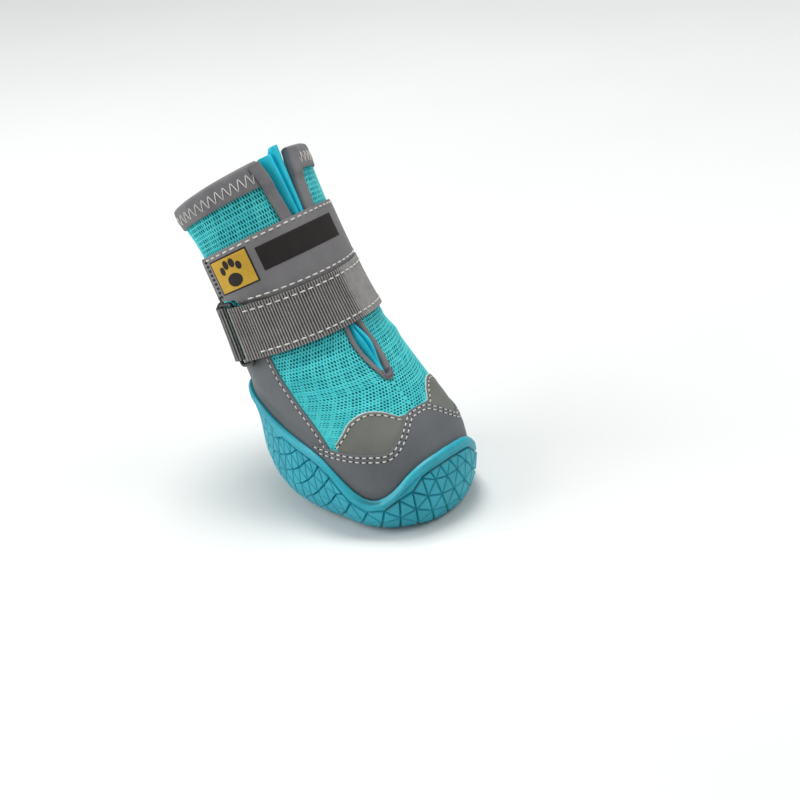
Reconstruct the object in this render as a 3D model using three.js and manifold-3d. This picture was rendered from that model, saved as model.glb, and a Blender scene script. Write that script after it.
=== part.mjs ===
// A dog boot: a moulded cup sole with triangular lugs, a hollow knit upper with a throat slit, two straps.
// Millimetres. x runs across the boot, y runs back from the toe, z runs up. The toe points to -y.
import * as THREE from 'three';
import { mergeVertices } from 'three/addons/utils/BufferGeometryUtils.js';
import Module from 'manifold-3d';

const wasm = await Module();
wasm.setup();

// ---- Driving dimensions -------------------------------------------------------------------------

const GAP = 0.3; // between any two pieces that meet
const WALL = 2.0; // knit, foam and lining of the upper
const CAP_THICK = 0.9; // toe cap and mudguard overlays
const PATCH_THICK = 0.7; // small toe patches
const RIM_WALL = 1.9; // rubber at the top of the cup
const CUP_FIT = 2 * GAP + CAP_THICK; // from the upper's face to the inside of the cup
const LAST_TURN = 360;

// Cross sections of the upper, one row each. frontP and backP run forward of the ball, so y is minus them.
// half is the half width, square the squareness of the oval, taper how much its front is wider.
const SECTIONS = [
  {
    name: 'feather', frontP: 38.0, frontZ: 10.4, backP: -33.0, backZ: 10.4,
    half: 27.6, square: 2.35, taper: 0.06,
  },
  {
    name: 'toe top', frontP: 37.3, frontZ: 25, backP: -37.0, backZ: 21,
    half: 29.0, square: 2.3, taper: 0.06,
  },
  {
    name: 'cap crest', frontP: 32.6, frontZ: 33.8, backP: -38.9, backZ: 29,
    half: 28.8, square: 2.25, taper: 0.05,
  },
  {
    name: 'vamp', frontP: 24.6, frontZ: 41.4, backP: -40.9, backZ: 35.5,
    half: 28.8, square: 2.2, taper: 0.04,
  },
  {
    name: 'slit end', frontP: 14.0, frontZ: 51, backP: -43.2, backZ: 41.5,
    half: 29.2, square: 2.15, taper: 0.03,
  },
  {
    name: 'instep', frontP: 1.5, frontZ: 63.5, backP: -45.6, backZ: 49.5,
    half: 29.0, square: 2.1, taper: 0.02,
  },
  {
    name: 'ankle', frontP: -7.5, frontZ: 77.5, backP: -49.4, backZ: 60,
    half: 28.0, square: 2.05, taper: 0,
  },
  {
    name: 'shin', frontP: -15.2, frontZ: 92.5, backP: -54.8, backZ: 72.5,
    half: 27.4, square: 2, taper: 0,
  },
  {
    name: 'calf', frontP: -22.8, frontZ: 107, backP: -61.4, backZ: 86,
    half: 27.6, square: 2, taper: 0,
  },
  {
    name: 'collar', frontP: -33.6, frontZ: 128, backP: -70.6, backZ: 102.5,
    half: 29.2, square: 2, taper: 0,
  },
];
const FIELDS = ['frontP', 'frontZ', 'backP', 'backZ', 'half', 'square', 'taper'];
const COLLAR = SECTIONS.length - 1;

// The sole: its outline, the rounding of its bottom edge, and its lugs.
const SOLE = { half: 33.0, front: 42.2, back: -42.8, square: 2.35, taper: 0.05 };
const EDGE = {
  toe: { inset: 6, rise: 14 },
  side: { inset: 12.5, rise: 20 },
  heel: { inset: 20, rise: 30 },
};
const EDGE_SHARE = 0.8; // the rounding takes at most this share of the height to the rim
const LUG_SIDE = 7.4;
const LUG_INSET = 0.24; // share by which a lug's top shrinks from its lattice triangle
const GROOVE = 1.25;
const RIM_BAND = 4.0; // smooth rubber between the lugs and the rim
const BAND_STEP = 0.8; // from the outermost grooves to the face of the smooth band
const BEAD = [{ below: 1.1, proud: 0.3 }, { below: 2.2, proud: 0 }]; // the rounded bead under the rim
const RIM_CROWN = 0.7; // how far the top of the rim rises over its outer edge
// A lattice corner just past the lugs' edge is drawn back to it. Corners further out and squashed lugs are
// dropped.
const CORNER = { drop: LUG_SIDE * 0.62, draw: -LUG_SIDE * 0.22, leastArea: 0.28 };
const LATTICE_REACH = 16; // rows of lattice corners on each side of the middle
const FLOOR_Z = 6.7;
const INSOLE_THICK = 3.0;

// Waves, as degrees from the toe and the level reached there. Levels count the rows of SECTIONS.
const RIM_WAVE = [
  { from: 0, level: 1.18 }, { from: 15, level: 1.1 }, { from: 28, level: 0.86 }, { from: 40, level: 0.48 },
  { from: 52, level: 0.26 }, { from: 62, level: 0.37 }, { from: 72, level: 0.83 }, { from: 82, level: 1.6 },
  { from: 94, level: 2.3 }, { from: 106, level: 3.0 }, { from: 118, level: 3.7 }, { from: 140, level: 4.1 },
  { from: 180, level: 4.1 },
];
const CAP_WAVE = [
  { from: 0, level: 2.92 }, { from: 8, level: 2.86 }, { from: 14.5, level: 2.62 }, { from: 23.5, level: 2.2 },
  { from: 35, level: 1.78 }, { from: 48, level: 1.78 }, { from: 60, level: 1.84 }, { from: 74, level: 1.97 },
  { from: 88, level: 2.2 },
];
const PATCH_WAVE = [
  { from: 13, level: 2.88 }, { from: 21, level: 3.18 }, { from: 33, level: 3.32 }, { from: 48, level: 3.08 },
  { from: 59, level: 2.6 }, { from: 67, level: 2.2 },
];
const CAP_END = 85; // degrees from the toe
const PATCH_SPAN = [14.5, 66];
const MUDGUARD_FRONT = 74; // degrees from the toe
const MUDGUARD_DROP = [2.5, 7]; // degrees past the cap's end over which its lower edge drops to the rim
const TUCK = 0.4; // levels by which overlays run down inside the cup

// The throat slit: half widths in millimetres at levels.
const SLIT = [
  { level: 4.0, half: 0.5 }, { level: 4.3, half: 2.5 }, { level: 4.75, half: 3.7 }, { level: 5.1, half: 3.4 },
  { level: 5.5, half: 2.6 }, { level: 6.5, half: 2.3 }, { level: 8.0, half: 4.0 }, { level: 8.75, half: 6.2 },
  { level: 9.0, half: 7.6 }, { level: 9.6, half: 8.6 },
];
const GUSSET = { thick: 0.9, overlap: 6, low: 3.7, high: 9.14, pleats: 3, pleatDepth: 0.5 };
const BINDING = { thick: 0.8, low: 8.66, insideLow: 8.72 };

// Straps: how wide, how thick, and the level of the lower or upper edge.
const REFLECTIVE = { width: 24, thick: 1.2, top: 8.05, end: 188, start: -149 };
// The strap over the loop patch climbs on to it between two distances, in degrees, before its edge.
const LOOP_PATCH = { thick: 1.0, from: 150, to: 210.4, inset: 1.2, climbFrom: 16, climbTo: 3 };
const WEBBING = { width: 20.5, thick: 1.1, bottom: 5.34 };
const RING = { bar: 0.8, near: 178.5, far: 197, length: 23.6, lift: 2.4 };
const STRAP_SPACE = { plain: 0.6, ring: 2.6, from: 163.5, to: 214, fade: 10 }; // between the two straps
const RING_MM_PER_DEGREE = 0.43; // arc length along the side of the shaft at the webbing
const TAB_END = 232;
const FOLD_STEPS = 7;

const COLOURS = {
  rubber: { color: 0x2aa9bd, roughness: 0.6 },
  knit: { color: 0x34c9cd, roughness: 0.9 },
  satin: { color: 0x2fc3d0, roughness: 0.5 },
  synthetic: { color: 0x7e7c80, roughness: 0.55 },
  reflective: { color: 0x8c8b8f, roughness: 0.5 },
  webbing: { color: 0x7a7877, roughness: 0.85 },
  fuzz: { color: 0xa5a5a3, roughness: 1 },
  board: { color: 0x4a4c50, roughness: 0.9 },
  plastic: { color: 0x17181a, roughness: 0.4 },
};

// ---- The upper's own surface --------------------------------------------------------------------

const power = (value, exponent) => Math.sign(value) * Math.abs(value) ** exponent;
const fromToe = (turn) => Math.abs(THREE.MathUtils.euclideanModulo(turn - 90 + 180, LAST_TURN) - 180);

function rowAt(index) {
  if (index < 0) return blendRows(SECTIONS[0], SECTIONS[1], -1);
  if (index > COLLAR) return blendRows(SECTIONS[COLLAR], SECTIONS[COLLAR - 1], -1);
  return SECTIONS[index];
}

function blendRows(a, b, share) {
  return Object.fromEntries(FIELDS.map((field) => [field, a[field] + (b[field] - a[field]) * share]));
}

/** The section at any level, by a Catmull-Rom curve through the rows. */
function section(level) {
  const index = THREE.MathUtils.clamp(Math.floor(level), 0, COLLAR - 1);
  const t = level - index;
  const [a, b, c, d] = [-1, 0, 1, 2].map((step) => rowAt(index + step));
  const curve = (field) => {
    const bend = 2 * a[field] - 5 * b[field] + 4 * c[field] - d[field];
    const twist = -a[field] + 3 * b[field] - 3 * c[field] + d[field];
    return 0.5 * (2 * b[field] + (c[field] - a[field]) * t + bend * t * t + twist * t ** 3);
  };
  return Object.fromEntries(FIELDS.map((field) => [field, curve(field)]));
}

function shellPoint(turn, level) {
  const row = section(level);
  const angle = THREE.MathUtils.degToRad(turn);
  const reach = power(Math.sin(angle), 2 / row.square);
  const x = row.half * (1 + row.taper * reach) * power(Math.cos(angle), 2 / row.square);
  const p = (row.frontP + row.backP) / 2 + (reach * (row.frontP - row.backP)) / 2;
  const z = (row.frontZ + row.backZ) / 2 + (reach * (row.frontZ - row.backZ)) / 2;
  return new THREE.Vector3(x, -p, z);
}

/** A point lifted off the upper's outer face. turn 0 is +x, 90 the toe, 180 -x and 270 the heel. */
function skin(turn, level, lift = 0) {
  const around = shellPoint(turn + 0.6, level).sub(shellPoint(turn - 0.6, level));
  const along = shellPoint(turn, level + 0.03).sub(shellPoint(turn, level - 0.03));
  const outward = along.cross(around).normalize();
  return shellPoint(turn, level).addScaledVector(outward, lift);
}

/** The turn at which the face is x millimetres off the middle of the front, at a level. */
function turnAtX(level, x) {
  const row = section(level);
  const share = Math.abs(x) / (row.half * (1 + row.taper));
  return 90 - Math.sign(x) * (90 - THREE.MathUtils.radToDeg(Math.acos(share ** (row.square / 2))));
}

/** The level reached after climbing a distance along the face; a negative distance goes down. */
function climb(turn, level, distance) {
  const steps = 12;
  let at = level;
  for (let i = 0; i < steps; i += 1) {
    const slope = shellPoint(turn, at + 0.02).distanceTo(shellPoint(turn, at - 0.02)) / 0.04;
    at += distance / steps / slope;
  }
  return at;
}

/** Reads a table by a smooth curve through its rows. */
function readTable(table, keyName, valueName, key) {
  const last = table.length - 1;
  let index = table.findIndex((row) => row[keyName] > key) - 1;
  if (index < -1) index = last - 1;
  index = THREE.MathUtils.clamp(index, 0, last - 1);
  const [a, b] = [table[index], table[index + 1]];
  const t = THREE.MathUtils.clamp((key - a[keyName]) / (b[keyName] - a[keyName]), 0, 1);
  const slopeAt = (k) => {
    const [before, after] = [table[Math.max(k - 1, 0)], table[Math.min(k + 1, last)]];
    return (after[valueName] - before[valueName]) / (after[keyName] - before[keyName]);
  };
  const span = b[keyName] - a[keyName];
  const [m, n] = [slopeAt(index) * span, slopeAt(index + 1) * span];
  const [u, v] = [t * t, t ** 3];
  const values = (2 * v - 3 * u + 1) * a[valueName] + (3 * u - 2 * v) * b[valueName];
  return values + (v - 2 * u + t) * m + (v - u) * n;
}

const rimLevel = (turn) => readTable(RIM_WAVE, 'from', 'level', fromToe(turn));
const capLevel = (turn) => readTable(CAP_WAVE, 'from', 'level', fromToe(turn));
const patchLevel = (turn) => readTable(PATCH_WAVE, 'from', 'level', fromToe(turn));
const slitHalf = (level) => readTable(SLIT, 'level', 'half', level);
const webbingTop = (turn) => climb(turn, WEBBING.bottom, WEBBING.width);
const reflectiveBottom = (turn) => {
  const { plain, ring, from, to, fade } = STRAP_SPACE;
  const rise = THREE.MathUtils.smoothstep(turn, from, from + fade);
  const fall = THREE.MathUtils.smoothstep(turn + (turn < 0 ? LAST_TURN : 0), to - fade, to);
  const space = plain + ring * Math.max(0, (turn < 0 ? 1 : rise) - fall);
  return Math.max(climb(turn, REFLECTIVE.top, -REFLECTIVE.width), climb(turn, webbingTop(turn), space));
};

// ---- Mesh building ------------------------------------------------------------------------------

function signedVolume(points, faces) {
  return faces.reduce((sum, [a, b, c]) => sum + points[a].dot(points[b].clone().cross(points[c])) / 6, 0);
}

/** A geometry from points and triangles, turned so that its faces point out. */
function closedGeometry(points, faces) {
  const outward = signedVolume(points, faces) > 0;
  const geometry = new THREE.BufferGeometry();
  const flat = points.flatMap((point) => point.toArray());
  geometry.setAttribute('position', new THREE.Float32BufferAttribute(flat, 3));
  geometry.setIndex(faces.flatMap(([a, b, c]) => (outward ? [a, b, c] : [a, c, b])));
  return geometry;
}

/** A solid between two faces, each given by a function of two shares from 0 to 1. */
function between(outer, inner, across, up, closed = false) {
  const columns = closed ? across : across + 1;
  const points = [];
  for (const face of [outer, inner]) {
    for (let i = 0; i < columns; i += 1) {
      for (let j = 0; j <= up; j += 1) points.push(face(i / across, j / up));
    }
  }
  const at = (face, i, j) => face * columns * (up + 1) + (i % columns) * (up + 1) + j;
  const faces = [];
  const quad = (a, b, c, d) => faces.push([a, b, c], [a, c, d]);
  for (let i = 0; i < across; i += 1) {
    for (let j = 0; j < up; j += 1) {
      quad(at(0, i, j), at(0, i + 1, j), at(0, i + 1, j + 1), at(0, i, j + 1));
      quad(at(1, i, j), at(1, i, j + 1), at(1, i + 1, j + 1), at(1, i + 1, j));
    }
    quad(at(1, i, 0), at(1, i + 1, 0), at(0, i + 1, 0), at(0, i, 0));
    quad(at(0, i, up), at(0, i + 1, up), at(1, i + 1, up), at(1, i, up));
  }
  for (let j = 0; j < up && !closed; j += 1) {
    quad(at(0, 0, j), at(0, 0, j + 1), at(1, 0, j + 1), at(1, 0, j));
    quad(at(1, across, j), at(1, across, j + 1), at(0, across, j + 1), at(0, across, j));
  }
  return closedGeometry(points, faces);
}

/** A patch of even thickness over the upper, between two turns and two levels that vary with the turn. */
function patch({ from, to, low, high, lift, thick, across, up }) {
  const face = (height) => (u, v) => {
    const turn = from + (to - from) * u;
    const level = low(turn) + (high(turn) - low(turn)) * v;
    return skin(turn, level, height(turn));
  };
  return between(face((turn) => lift(turn) + thick), face(lift), across, up);
}

function toManifold(geometry) {
  const vertProperties = new Float32Array(geometry.getAttribute('position').array);
  const triVerts = new Uint32Array(geometry.getIndex().array);
  return new wasm.Manifold(new wasm.Mesh({ numProp: 3, vertProperties, triVerts }));
}

function toGeometry(manifold) {
  const mesh = manifold.getMesh();
  const geometry = new THREE.BufferGeometry();
  geometry.setAttribute('position', new THREE.Float32BufferAttribute(mesh.vertProperties, 3));
  geometry.setIndex(Array.from(mesh.triVerts));
  return geometry;
}

/** A named mesh in one of the finishes. */
function piece(name, geometry, finish) {
  geometry.computeVertexNormals();
  const material = new THREE.MeshStandardMaterial({ metalness: 0, ...COLOURS[finish] });
  const mesh = new THREE.Mesh(geometry, material);
  mesh.name = name;
  return mesh;
}

// ---- The sole -----------------------------------------------------------------------------------

const SOLE_MIDDLE = (SOLE.front + SOLE.back) / 2;

function edgeAt(turn) {
  const angle = THREE.MathUtils.degToRad(turn);
  const along = Math.sin(angle) ** 2;
  const end = Math.sin(angle) > 0 ? EDGE.toe : EDGE.heel;
  return {
    inset: end.inset * along + EDGE.side.inset * (1 - along),
    rise: end.rise * along + EDGE.side.rise * (1 - along),
  };
}

/** A point of the sole's outline, drawn in by an inset, at a height. */
function solePoint(turn, inset, height) {
  const angle = THREE.MathUtils.degToRad(turn);
  const reach = power(Math.sin(angle), 2 / SOLE.square);
  const x = (SOLE.half - inset) * (1 + SOLE.taper * reach) * power(Math.cos(angle), 2 / SOLE.square);
  const p = SOLE_MIDDLE + ((SOLE.front - SOLE.back) / 2 - inset) * reach;
  return new THREE.Vector3(x, -p, height);
}

/** The sole's outer face in one direction, from the edge of its flat bottom up to its rim. */
function soleProfile(turn) {
  const rim = skin(turn, rimLevel(turn), CUP_FIT + RIM_WALL);
  const { inset, rise: fullRise } = edgeAt(turn);
  const rise = Math.min(fullRise, rim.z * EDGE_SHARE);
  const points = [];
  for (let i = 0; i <= 8; i += 1) {
    const angle = ((i / 8) * Math.PI) / 2;
    points.push(solePoint(turn, inset * (1 - Math.sin(angle)), rise * (1 - Math.cos(angle))));
  }
  const shoulder = points[8];
  const guide = shoulder.clone().setZ((shoulder.z + rim.z) / 2);
  points.push(...new THREE.QuadraticBezierCurve3(shoulder, guide, rim).getPoints(4).slice(1));
  const lengths = [0];
  for (let i = 1; i < points.length; i += 1) {
    lengths.push(lengths[i - 1] + points[i].distanceTo(points[i - 1]));
  }
  return { points, lengths, total: lengths.at(-1) };
}

function alongProfile({ points, lengths, total }, distance) {
  const d = THREE.MathUtils.clamp(distance, 0, total);
  const index = Math.max(1, lengths.findIndex((length) => length >= d));
  const [before, after] = [lengths[index - 1], lengths[index]];
  return points[index - 1].clone().lerp(points[index], (d - before) / (after - before));
}

// The flat bottom's edge, looked up by direction from its middle.
const DIRECTIONS = Array.from({ length: LAST_TURN * 2 + 1 }, (_, i) => {
  const turn = i / 2;
  const flat = solePoint(turn, edgeAt(turn).inset, 0);
  const angle = Math.atan2(-flat.y - SOLE_MIDDLE, flat.x) + (i > LAST_TURN ? 2 * Math.PI : 0);
  return { turn, angle, radius: Math.hypot(flat.x, -flat.y - SOLE_MIDDLE) };
});
DIRECTIONS[LAST_TURN].angle = Math.PI;
DIRECTIONS[LAST_TURN * 2].angle = 2 * Math.PI;

function direction(x, p) {
  const angle = THREE.MathUtils.euclideanModulo(Math.atan2(p - SOLE_MIDDLE, x), 2 * Math.PI);
  const index = Math.max(1, DIRECTIONS.findIndex((row) => row.angle >= angle));
  const [a, b] = [DIRECTIONS[index - 1], DIRECTIONS[index]];
  const t = (angle - a.angle) / (b.angle - a.angle);
  return { turn: a.turn + (b.turn - a.turn) * t, radius: a.radius + (b.radius - a.radius) * t };
}

const profiles = new Map();
function profileAt(turn) {
  const key = Math.round(turn * 2);
  if (!profiles.has(key)) profiles.set(key, soleProfile(key / 2));
  return profiles.get(key);
}

/** Wraps a point of the unrolled tread onto the sole: flat below, then up the rounded edge. */
function wrap(x, p) {
  const { turn, radius } = direction(x, p);
  const reach = Math.hypot(x, p - SOLE_MIDDLE);
  if (reach <= radius) return new THREE.Vector3(x, -p, 0);
  const [low, high] = [Math.floor(turn * 2) / 2, Math.ceil(turn * 2 + 1e-9) / 2];
  const a = alongProfile(profileAt(low), reach - radius);
  if (high === low) return a;
  return a.lerp(alongProfile(profileAt(high), reach - radius), (turn - low) / (high - low));
}

function treadPoint({ x, y: p }, depth) {
  const here = wrap(x, p);
  if (depth === 0) return here;
  const step = 0.4;
  const across = wrap(x + step, p).sub(wrap(x - step, p));
  const along = wrap(x, p + step).sub(wrap(x, p - step));
  return here.addScaledVector(across.cross(along).normalize(), -depth);
}

const fromMiddle = (flat) => new THREE.Vector2(flat.x, flat.y - SOLE_MIDDLE);
const pushedOut = (flat, distance) => {
  const arm = fromMiddle(flat);
  return arm.setLength(arm.length() + distance).add(new THREE.Vector2(0, SOLE_MIDDLE));
};

/** Places a lattice corner, drawn back to the edge of the lugs if it lies just past it, or drops it. */
function latticeCorner(x, p) {
  const flat = new THREE.Vector2(x, p);
  const { turn, radius } = direction(x, p);
  const past = fromMiddle(flat).length() - radius - (profileAt(turn).total - RIM_BAND);
  if (past > CORNER.drop) return null;
  return past > CORNER.draw ? pushedOut(flat, -past) : flat;
}

/** The triangles of the unrolled lug lattice, as three corners each. */
function lugTriangles() {
  const rowHeight = (LUG_SIDE * Math.sqrt(3)) / 2;
  const reach = LATTICE_REACH;
  const corners = new Map();
  for (let j = -reach; j <= reach; j += 1) {
    for (let i = -reach; i <= reach; i += 1) {
      const x = (i + (j % 2 === 0 ? 0 : 0.5)) * LUG_SIDE;
      const corner = latticeCorner(x, SOLE_MIDDLE + j * rowHeight);
      if (corner) corners.set(`${i},${j}`, corner);
    }
  }
  const triangles = [];
  for (let j = -reach; j < reach; j += 1) {
    const shift = j % 2 === 0 ? 0 : 1;
    for (let i = -reach; i < reach; i += 1) {
      triangles.push([`${i},${j}`, `${i + 1},${j}`, `${i + shift},${j + 1}`]);
      triangles.push([`${i + 1},${j}`, `${i + shift + 1},${j + 1}`, `${i + shift},${j + 1}`]);
    }
  }
  const area = ([a, b, c]) => b.clone().sub(a).cross(c.clone().sub(a)) / 2;
  const least = ((LUG_SIDE * rowHeight) / 2) * CORNER.leastArea;
  const kept = triangles.filter((keys) => keys.every((key) => corners.has(key)));
  return { corners, triangles: kept.filter((keys) => area(keys.map((key) => corners.get(key))) > least) };
}

/** The corners round the outside of the lattice, in order. */
function latticeBorder(triangles) {
  const edges = new Map();
  for (const keys of triangles) {
    keys.forEach((key, k) => edges.set(`${key}>${keys[(k + 1) % 3]}`, [key, keys[(k + 1) % 3]]));
  }
  const next = new Map();
  for (const [a, b] of edges.values()) {
    if (!edges.has(`${b}>${a}`)) next.set(a, b);
  }
  const start = next.keys().next().value;
  const loop = [start];
  for (let key = next.get(start); key !== start; key = next.get(key)) loop.push(key);
  if (loop.length !== next.size) throw new Error('the lug lattice has more than one border');
  return loop;
}

/** The cup sole: lugs, smooth band, rounded rim, inner wall and floor, as one closed skin. */
function outsoleGeometry() {
  const points = [];
  const faces = [];
  const add = (point) => points.push(point) - 1;
  const { corners, triangles } = lugTriangles();
  const base = new Map();
  const cornerIndex = (key) => {
    if (!base.has(key)) base.set(key, add(treadPoint(corners.get(key), GROOVE)));
    return base.get(key);
  };
  for (const keys of triangles) {
    const flats = keys.map((key) => corners.get(key));
    const middle = flats.reduce((sum, flat) => sum.add(flat), new THREE.Vector2()).divideScalar(3);
    const low = keys.map(cornerIndex);
    const top = flats.map((flat) => add(treadPoint(flat.clone().lerp(middle, LUG_INSET), 0)));
    for (let k = 0; k < 3; k += 1) {
      const n = (k + 1) % 3;
      faces.push([low[k], low[n], top[n]], [low[k], top[n], top[k]]);
    }
    faces.push(top);
  }

  // The smooth band runs from a small step outside the lugs up to the rim.
  const border = latticeBorder(triangles);
  const stepFlats = border.map((key) => pushedOut(corners.get(key), BAND_STEP));
  const step = stepFlats.map((flat) => add(treadPoint(flat, 0)));
  border.forEach((key, k) => {
    const n = (k + 1) % border.length;
    faces.push([cornerIndex(key), step[k], step[n]], [cornerIndex(key), step[n], cornerIndex(border[n])]);
  });
  const turns = Array.from({ length: 72 }, (_, i) => i * 5);
  const belowRim = (turn, distance) => {
    const flat = solePoint(turn, edgeAt(turn).inset, 0);
    return pushedOut(new THREE.Vector2(flat.x, -flat.y), soleProfile(turn).total - distance);
  };
  const join = (above, below) => turns.forEach((_, k) => {
    const n = (k + 1) % turns.length;
    faces.push([above[k], below[n], below[k]], [above[k], above[n], below[n]]);
  });
  const rim = turns.map((turn) => add(skin(turn, rimLevel(turn), CUP_FIT + RIM_WALL)));
  const bead = BEAD.map(({ below, proud }) => (
    turns.map((turn) => add(treadPoint(belowRim(turn, below), -proud)))
  ));
  join(rim, bead[0]);
  join(bead[0], bead[1]);
  const beadFlats = turns.map((turn) => belowRim(turn, BEAD[1].below));
  const flats = [...beadFlats, ...stepFlats];
  const indices = [...bead[1], ...step];
  for (const [a, b, c] of THREE.ShapeUtils.triangulateShape(beadFlats.slice(), [stepFlats.slice()])) {
    const area = flats[b].clone().sub(flats[a]).cross(flats[c].clone().sub(flats[a]));
    faces.push(area > 0 ? [indices[a], indices[b], indices[c]] : [indices[a], indices[c], indices[b]]);
  }

  // Over the rim, down the inside and across the floor.
  const inside = CUP_FIT;
  const loops = [
    (turn) => skin(turn, climb(turn, rimLevel(turn), RIM_CROWN), inside + RIM_WALL / 2),
    ...[1, 0.66, 0.33, 0].map((share) => (turn) => skin(turn, rimLevel(turn) * share, inside)),
    (turn) => skin(turn, 0, inside - 0.8).setZ(FLOOR_Z + 1.8),
    (turn) => skin(turn, 0, inside - 3).setZ(FLOOR_Z),
  ];
  let previous = rim;
  for (const loop of loops) {
    const current = turns.map((turn) => add(loop(turn)));
    turns.forEach((_, k) => {
      const n = (k + 1) % turns.length;
      faces.push([previous[k], current[n], previous[n]], [previous[k], current[k], current[n]]);
    });
    previous = current;
  }
  const centre = add(new THREE.Vector3(0, -SOLE_MIDDLE, FLOOR_Z));
  turns.forEach((_, k) => faces.push([previous[k], centre, previous[(k + 1) % turns.length]]));
  return closedGeometry(points, faces);
}

/** The footbed: a thin board with rounded lower edges that lies on the cup's floor under the upper. */
function insoleGeometry() {
  const turns = Array.from({ length: 48 }, (_, i) => i * 7.5);
  const rings = [
    (turn) => skin(turn, 0, CUP_FIT - 3 - GAP).setZ(FLOOR_Z + GAP),
    (turn) => skin(turn, 0, CUP_FIT - 0.8 - 2 * GAP).setZ(FLOOR_Z + GAP + 1.9),
    (turn) => skin(turn, 0, CUP_FIT - 0.8 - 2 * GAP).setZ(FLOOR_Z + GAP + INSOLE_THICK),
  ];
  const points = [new THREE.Vector3(0, -SOLE_MIDDLE, FLOOR_Z + GAP)];
  for (const ring of rings) points.push(...turns.map(ring));
  points.push(new THREE.Vector3(0, -SOLE_MIDDLE, FLOOR_Z + GAP + INSOLE_THICK));
  const count = turns.length;
  const last = points.length - 1;
  const faces = [];
  for (let k = 0; k < count; k += 1) {
    const n = (k + 1) % count;
    faces.push([0, 1 + n, 1 + k], [last, 1 + 2 * count + k, 1 + 2 * count + n]);
    for (const ring of [0, 1]) {
      const [a, b] = [1 + ring * count, 1 + (ring + 1) * count];
      faces.push([a + k, a + n, b + n], [a + k, b + n, b + k]);
    }
  }
  return closedGeometry(points, faces);
}

// ---- The upper and its throat -------------------------------------------------------------------

function upperGeometry() {
  const face = (lift) => (u, v) => skin(LAST_TURN * u, COLLAR * v, lift);
  const shell = toManifold(between(face(0), face(-WALL), 40, 15, true));
  const cutFace = (lift) => (u, v) => {
    const level = SLIT[0].level + (SLIT.at(-1).level - SLIT[0].level) * v;
    return skin(turnAtX(level, slitHalf(level) * (2 * u - 1)), level, lift);
  };
  const cutter = toManifold(between(cutFace(3), cutFace(-WALL - 3), 2, 12));
  return toGeometry(shell.subtract(cutter));
}

/** The stretch tongue behind the slit, with lengthwise pleats that fill the opening. */
function gussetGeometry() {
  const { thick, overlap, low, high, pleats, pleatDepth } = GUSSET;
  const face = (drop) => (u, v) => {
    const level = low + (high - low) * v;
    const open = slitHalf(level);
    const x = (open + overlap) * (2 * u - 1);
    const inOpening = THREE.MathUtils.smoothstep(open - Math.abs(x), 0.6, open * 0.8);
    const fold = pleatDepth * Math.cos(((x / open) * Math.PI * pleats) / 2);
    const wide = THREE.MathUtils.smoothstep(open, 2.3, 4);
    const nearBinding = THREE.MathUtils.smoothstep(level, BINDING.low - 0.5, BINDING.low);
    const behindBinding = (BINDING.thick + GAP) * nearBinding;
    const lift = -WALL - GAP - behindBinding + inOpening * wide * (WALL * 0.8 + fold);
    return skin(turnAtX(level, x), level, lift - drop);
  };
  return between(face(0), face(thick), 12, 11);
}

function bindingGeometry() {
  const { thick, low, insideLow } = BINDING;
  const top = COLLAR + 0.015;
  const over = COLLAR + 0.05;
  const profile = [
    [GAP, low], [GAP + thick, low], [GAP + thick, COLLAR], [GAP, over], [-WALL - GAP, over],
    [-WALL - GAP - thick, COLLAR], [-WALL - GAP - thick, insideLow], [-WALL - GAP, insideLow],
    [-WALL - GAP, top], [GAP, top],
  ];
  const across = 32;
  const points = [];
  for (let i = 0; i <= across; i += 1) {
    for (const [lift, level] of profile) {
      const start = turnAtX(level, -slitHalf(level));
      const end = turnAtX(level, slitHalf(level)) + LAST_TURN;
      points.push(skin(start + ((end - start) * i) / across, level, lift));
    }
  }
  const count = profile.length;
  const faces = [];
  for (let i = 0; i < across; i += 1) {
    for (let k = 0; k < count; k += 1) {
      const [a, b] = [i * count + k, i * count + ((k + 1) % count)];
      faces.push([a, b, b + count], [a, b + count, a + count]);
    }
  }
  const flat = profile.map(([lift, level]) => new THREE.Vector2(lift, level * 20));
  for (const [a, b, c] of THREE.ShapeUtils.triangulateShape(flat, [])) {
    const flip = flat[b].clone().sub(flat[a]).cross(flat[c].clone().sub(flat[a])) > 0;
    const [second, third] = flip ? [c, b] : [b, c];
    faces.push([a, second, third]);
    const end = across * count;
    faces.push([end + a, end + third, end + second]);
  }
  return closedGeometry(points, faces);
}

// ---- Overlays -----------------------------------------------------------------------------------

const overCup = (turn) => Math.max(rimLevel(turn) - TUCK, 0.12);
const resting = () => GAP;

function toeCapGeometry() {
  return patch({
    from: 90 - CAP_END, to: 90 + CAP_END, low: overCup, high: capLevel,
    lift: resting, thick: CAP_THICK, across: 30, up: 4,
  });
}

function toePatchGeometry(side) {
  const above = (turn) => climb(turn, capLevel(turn), GAP + 0.05);
  return patch({
    from: 90 + side * PATCH_SPAN[0], to: 90 + side * PATCH_SPAN[1], low: above, high: patchLevel,
    lift: resting, thick: PATCH_THICK, across: 10, up: 3,
  });
}

function mudguardGeometry() {
  const low = (turn) => {
    const overCap = climb(turn, capLevel(turn), GAP + 0.05);
    const join = THREE.MathUtils.smoothstep(fromToe(turn) - CAP_END, ...MUDGUARD_DROP);
    return THREE.MathUtils.lerp(overCap, overCup(turn), join);
  };
  const high = (turn) => climb(turn, WEBBING.bottom, -0.5);
  return patch({
    from: 90 + MUDGUARD_FRONT, to: 450 - MUDGUARD_FRONT, low, high,
    lift: resting, thick: CAP_THICK, across: 32, up: 3,
  });
}

// ---- Straps -------------------------------------------------------------------------------------

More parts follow.
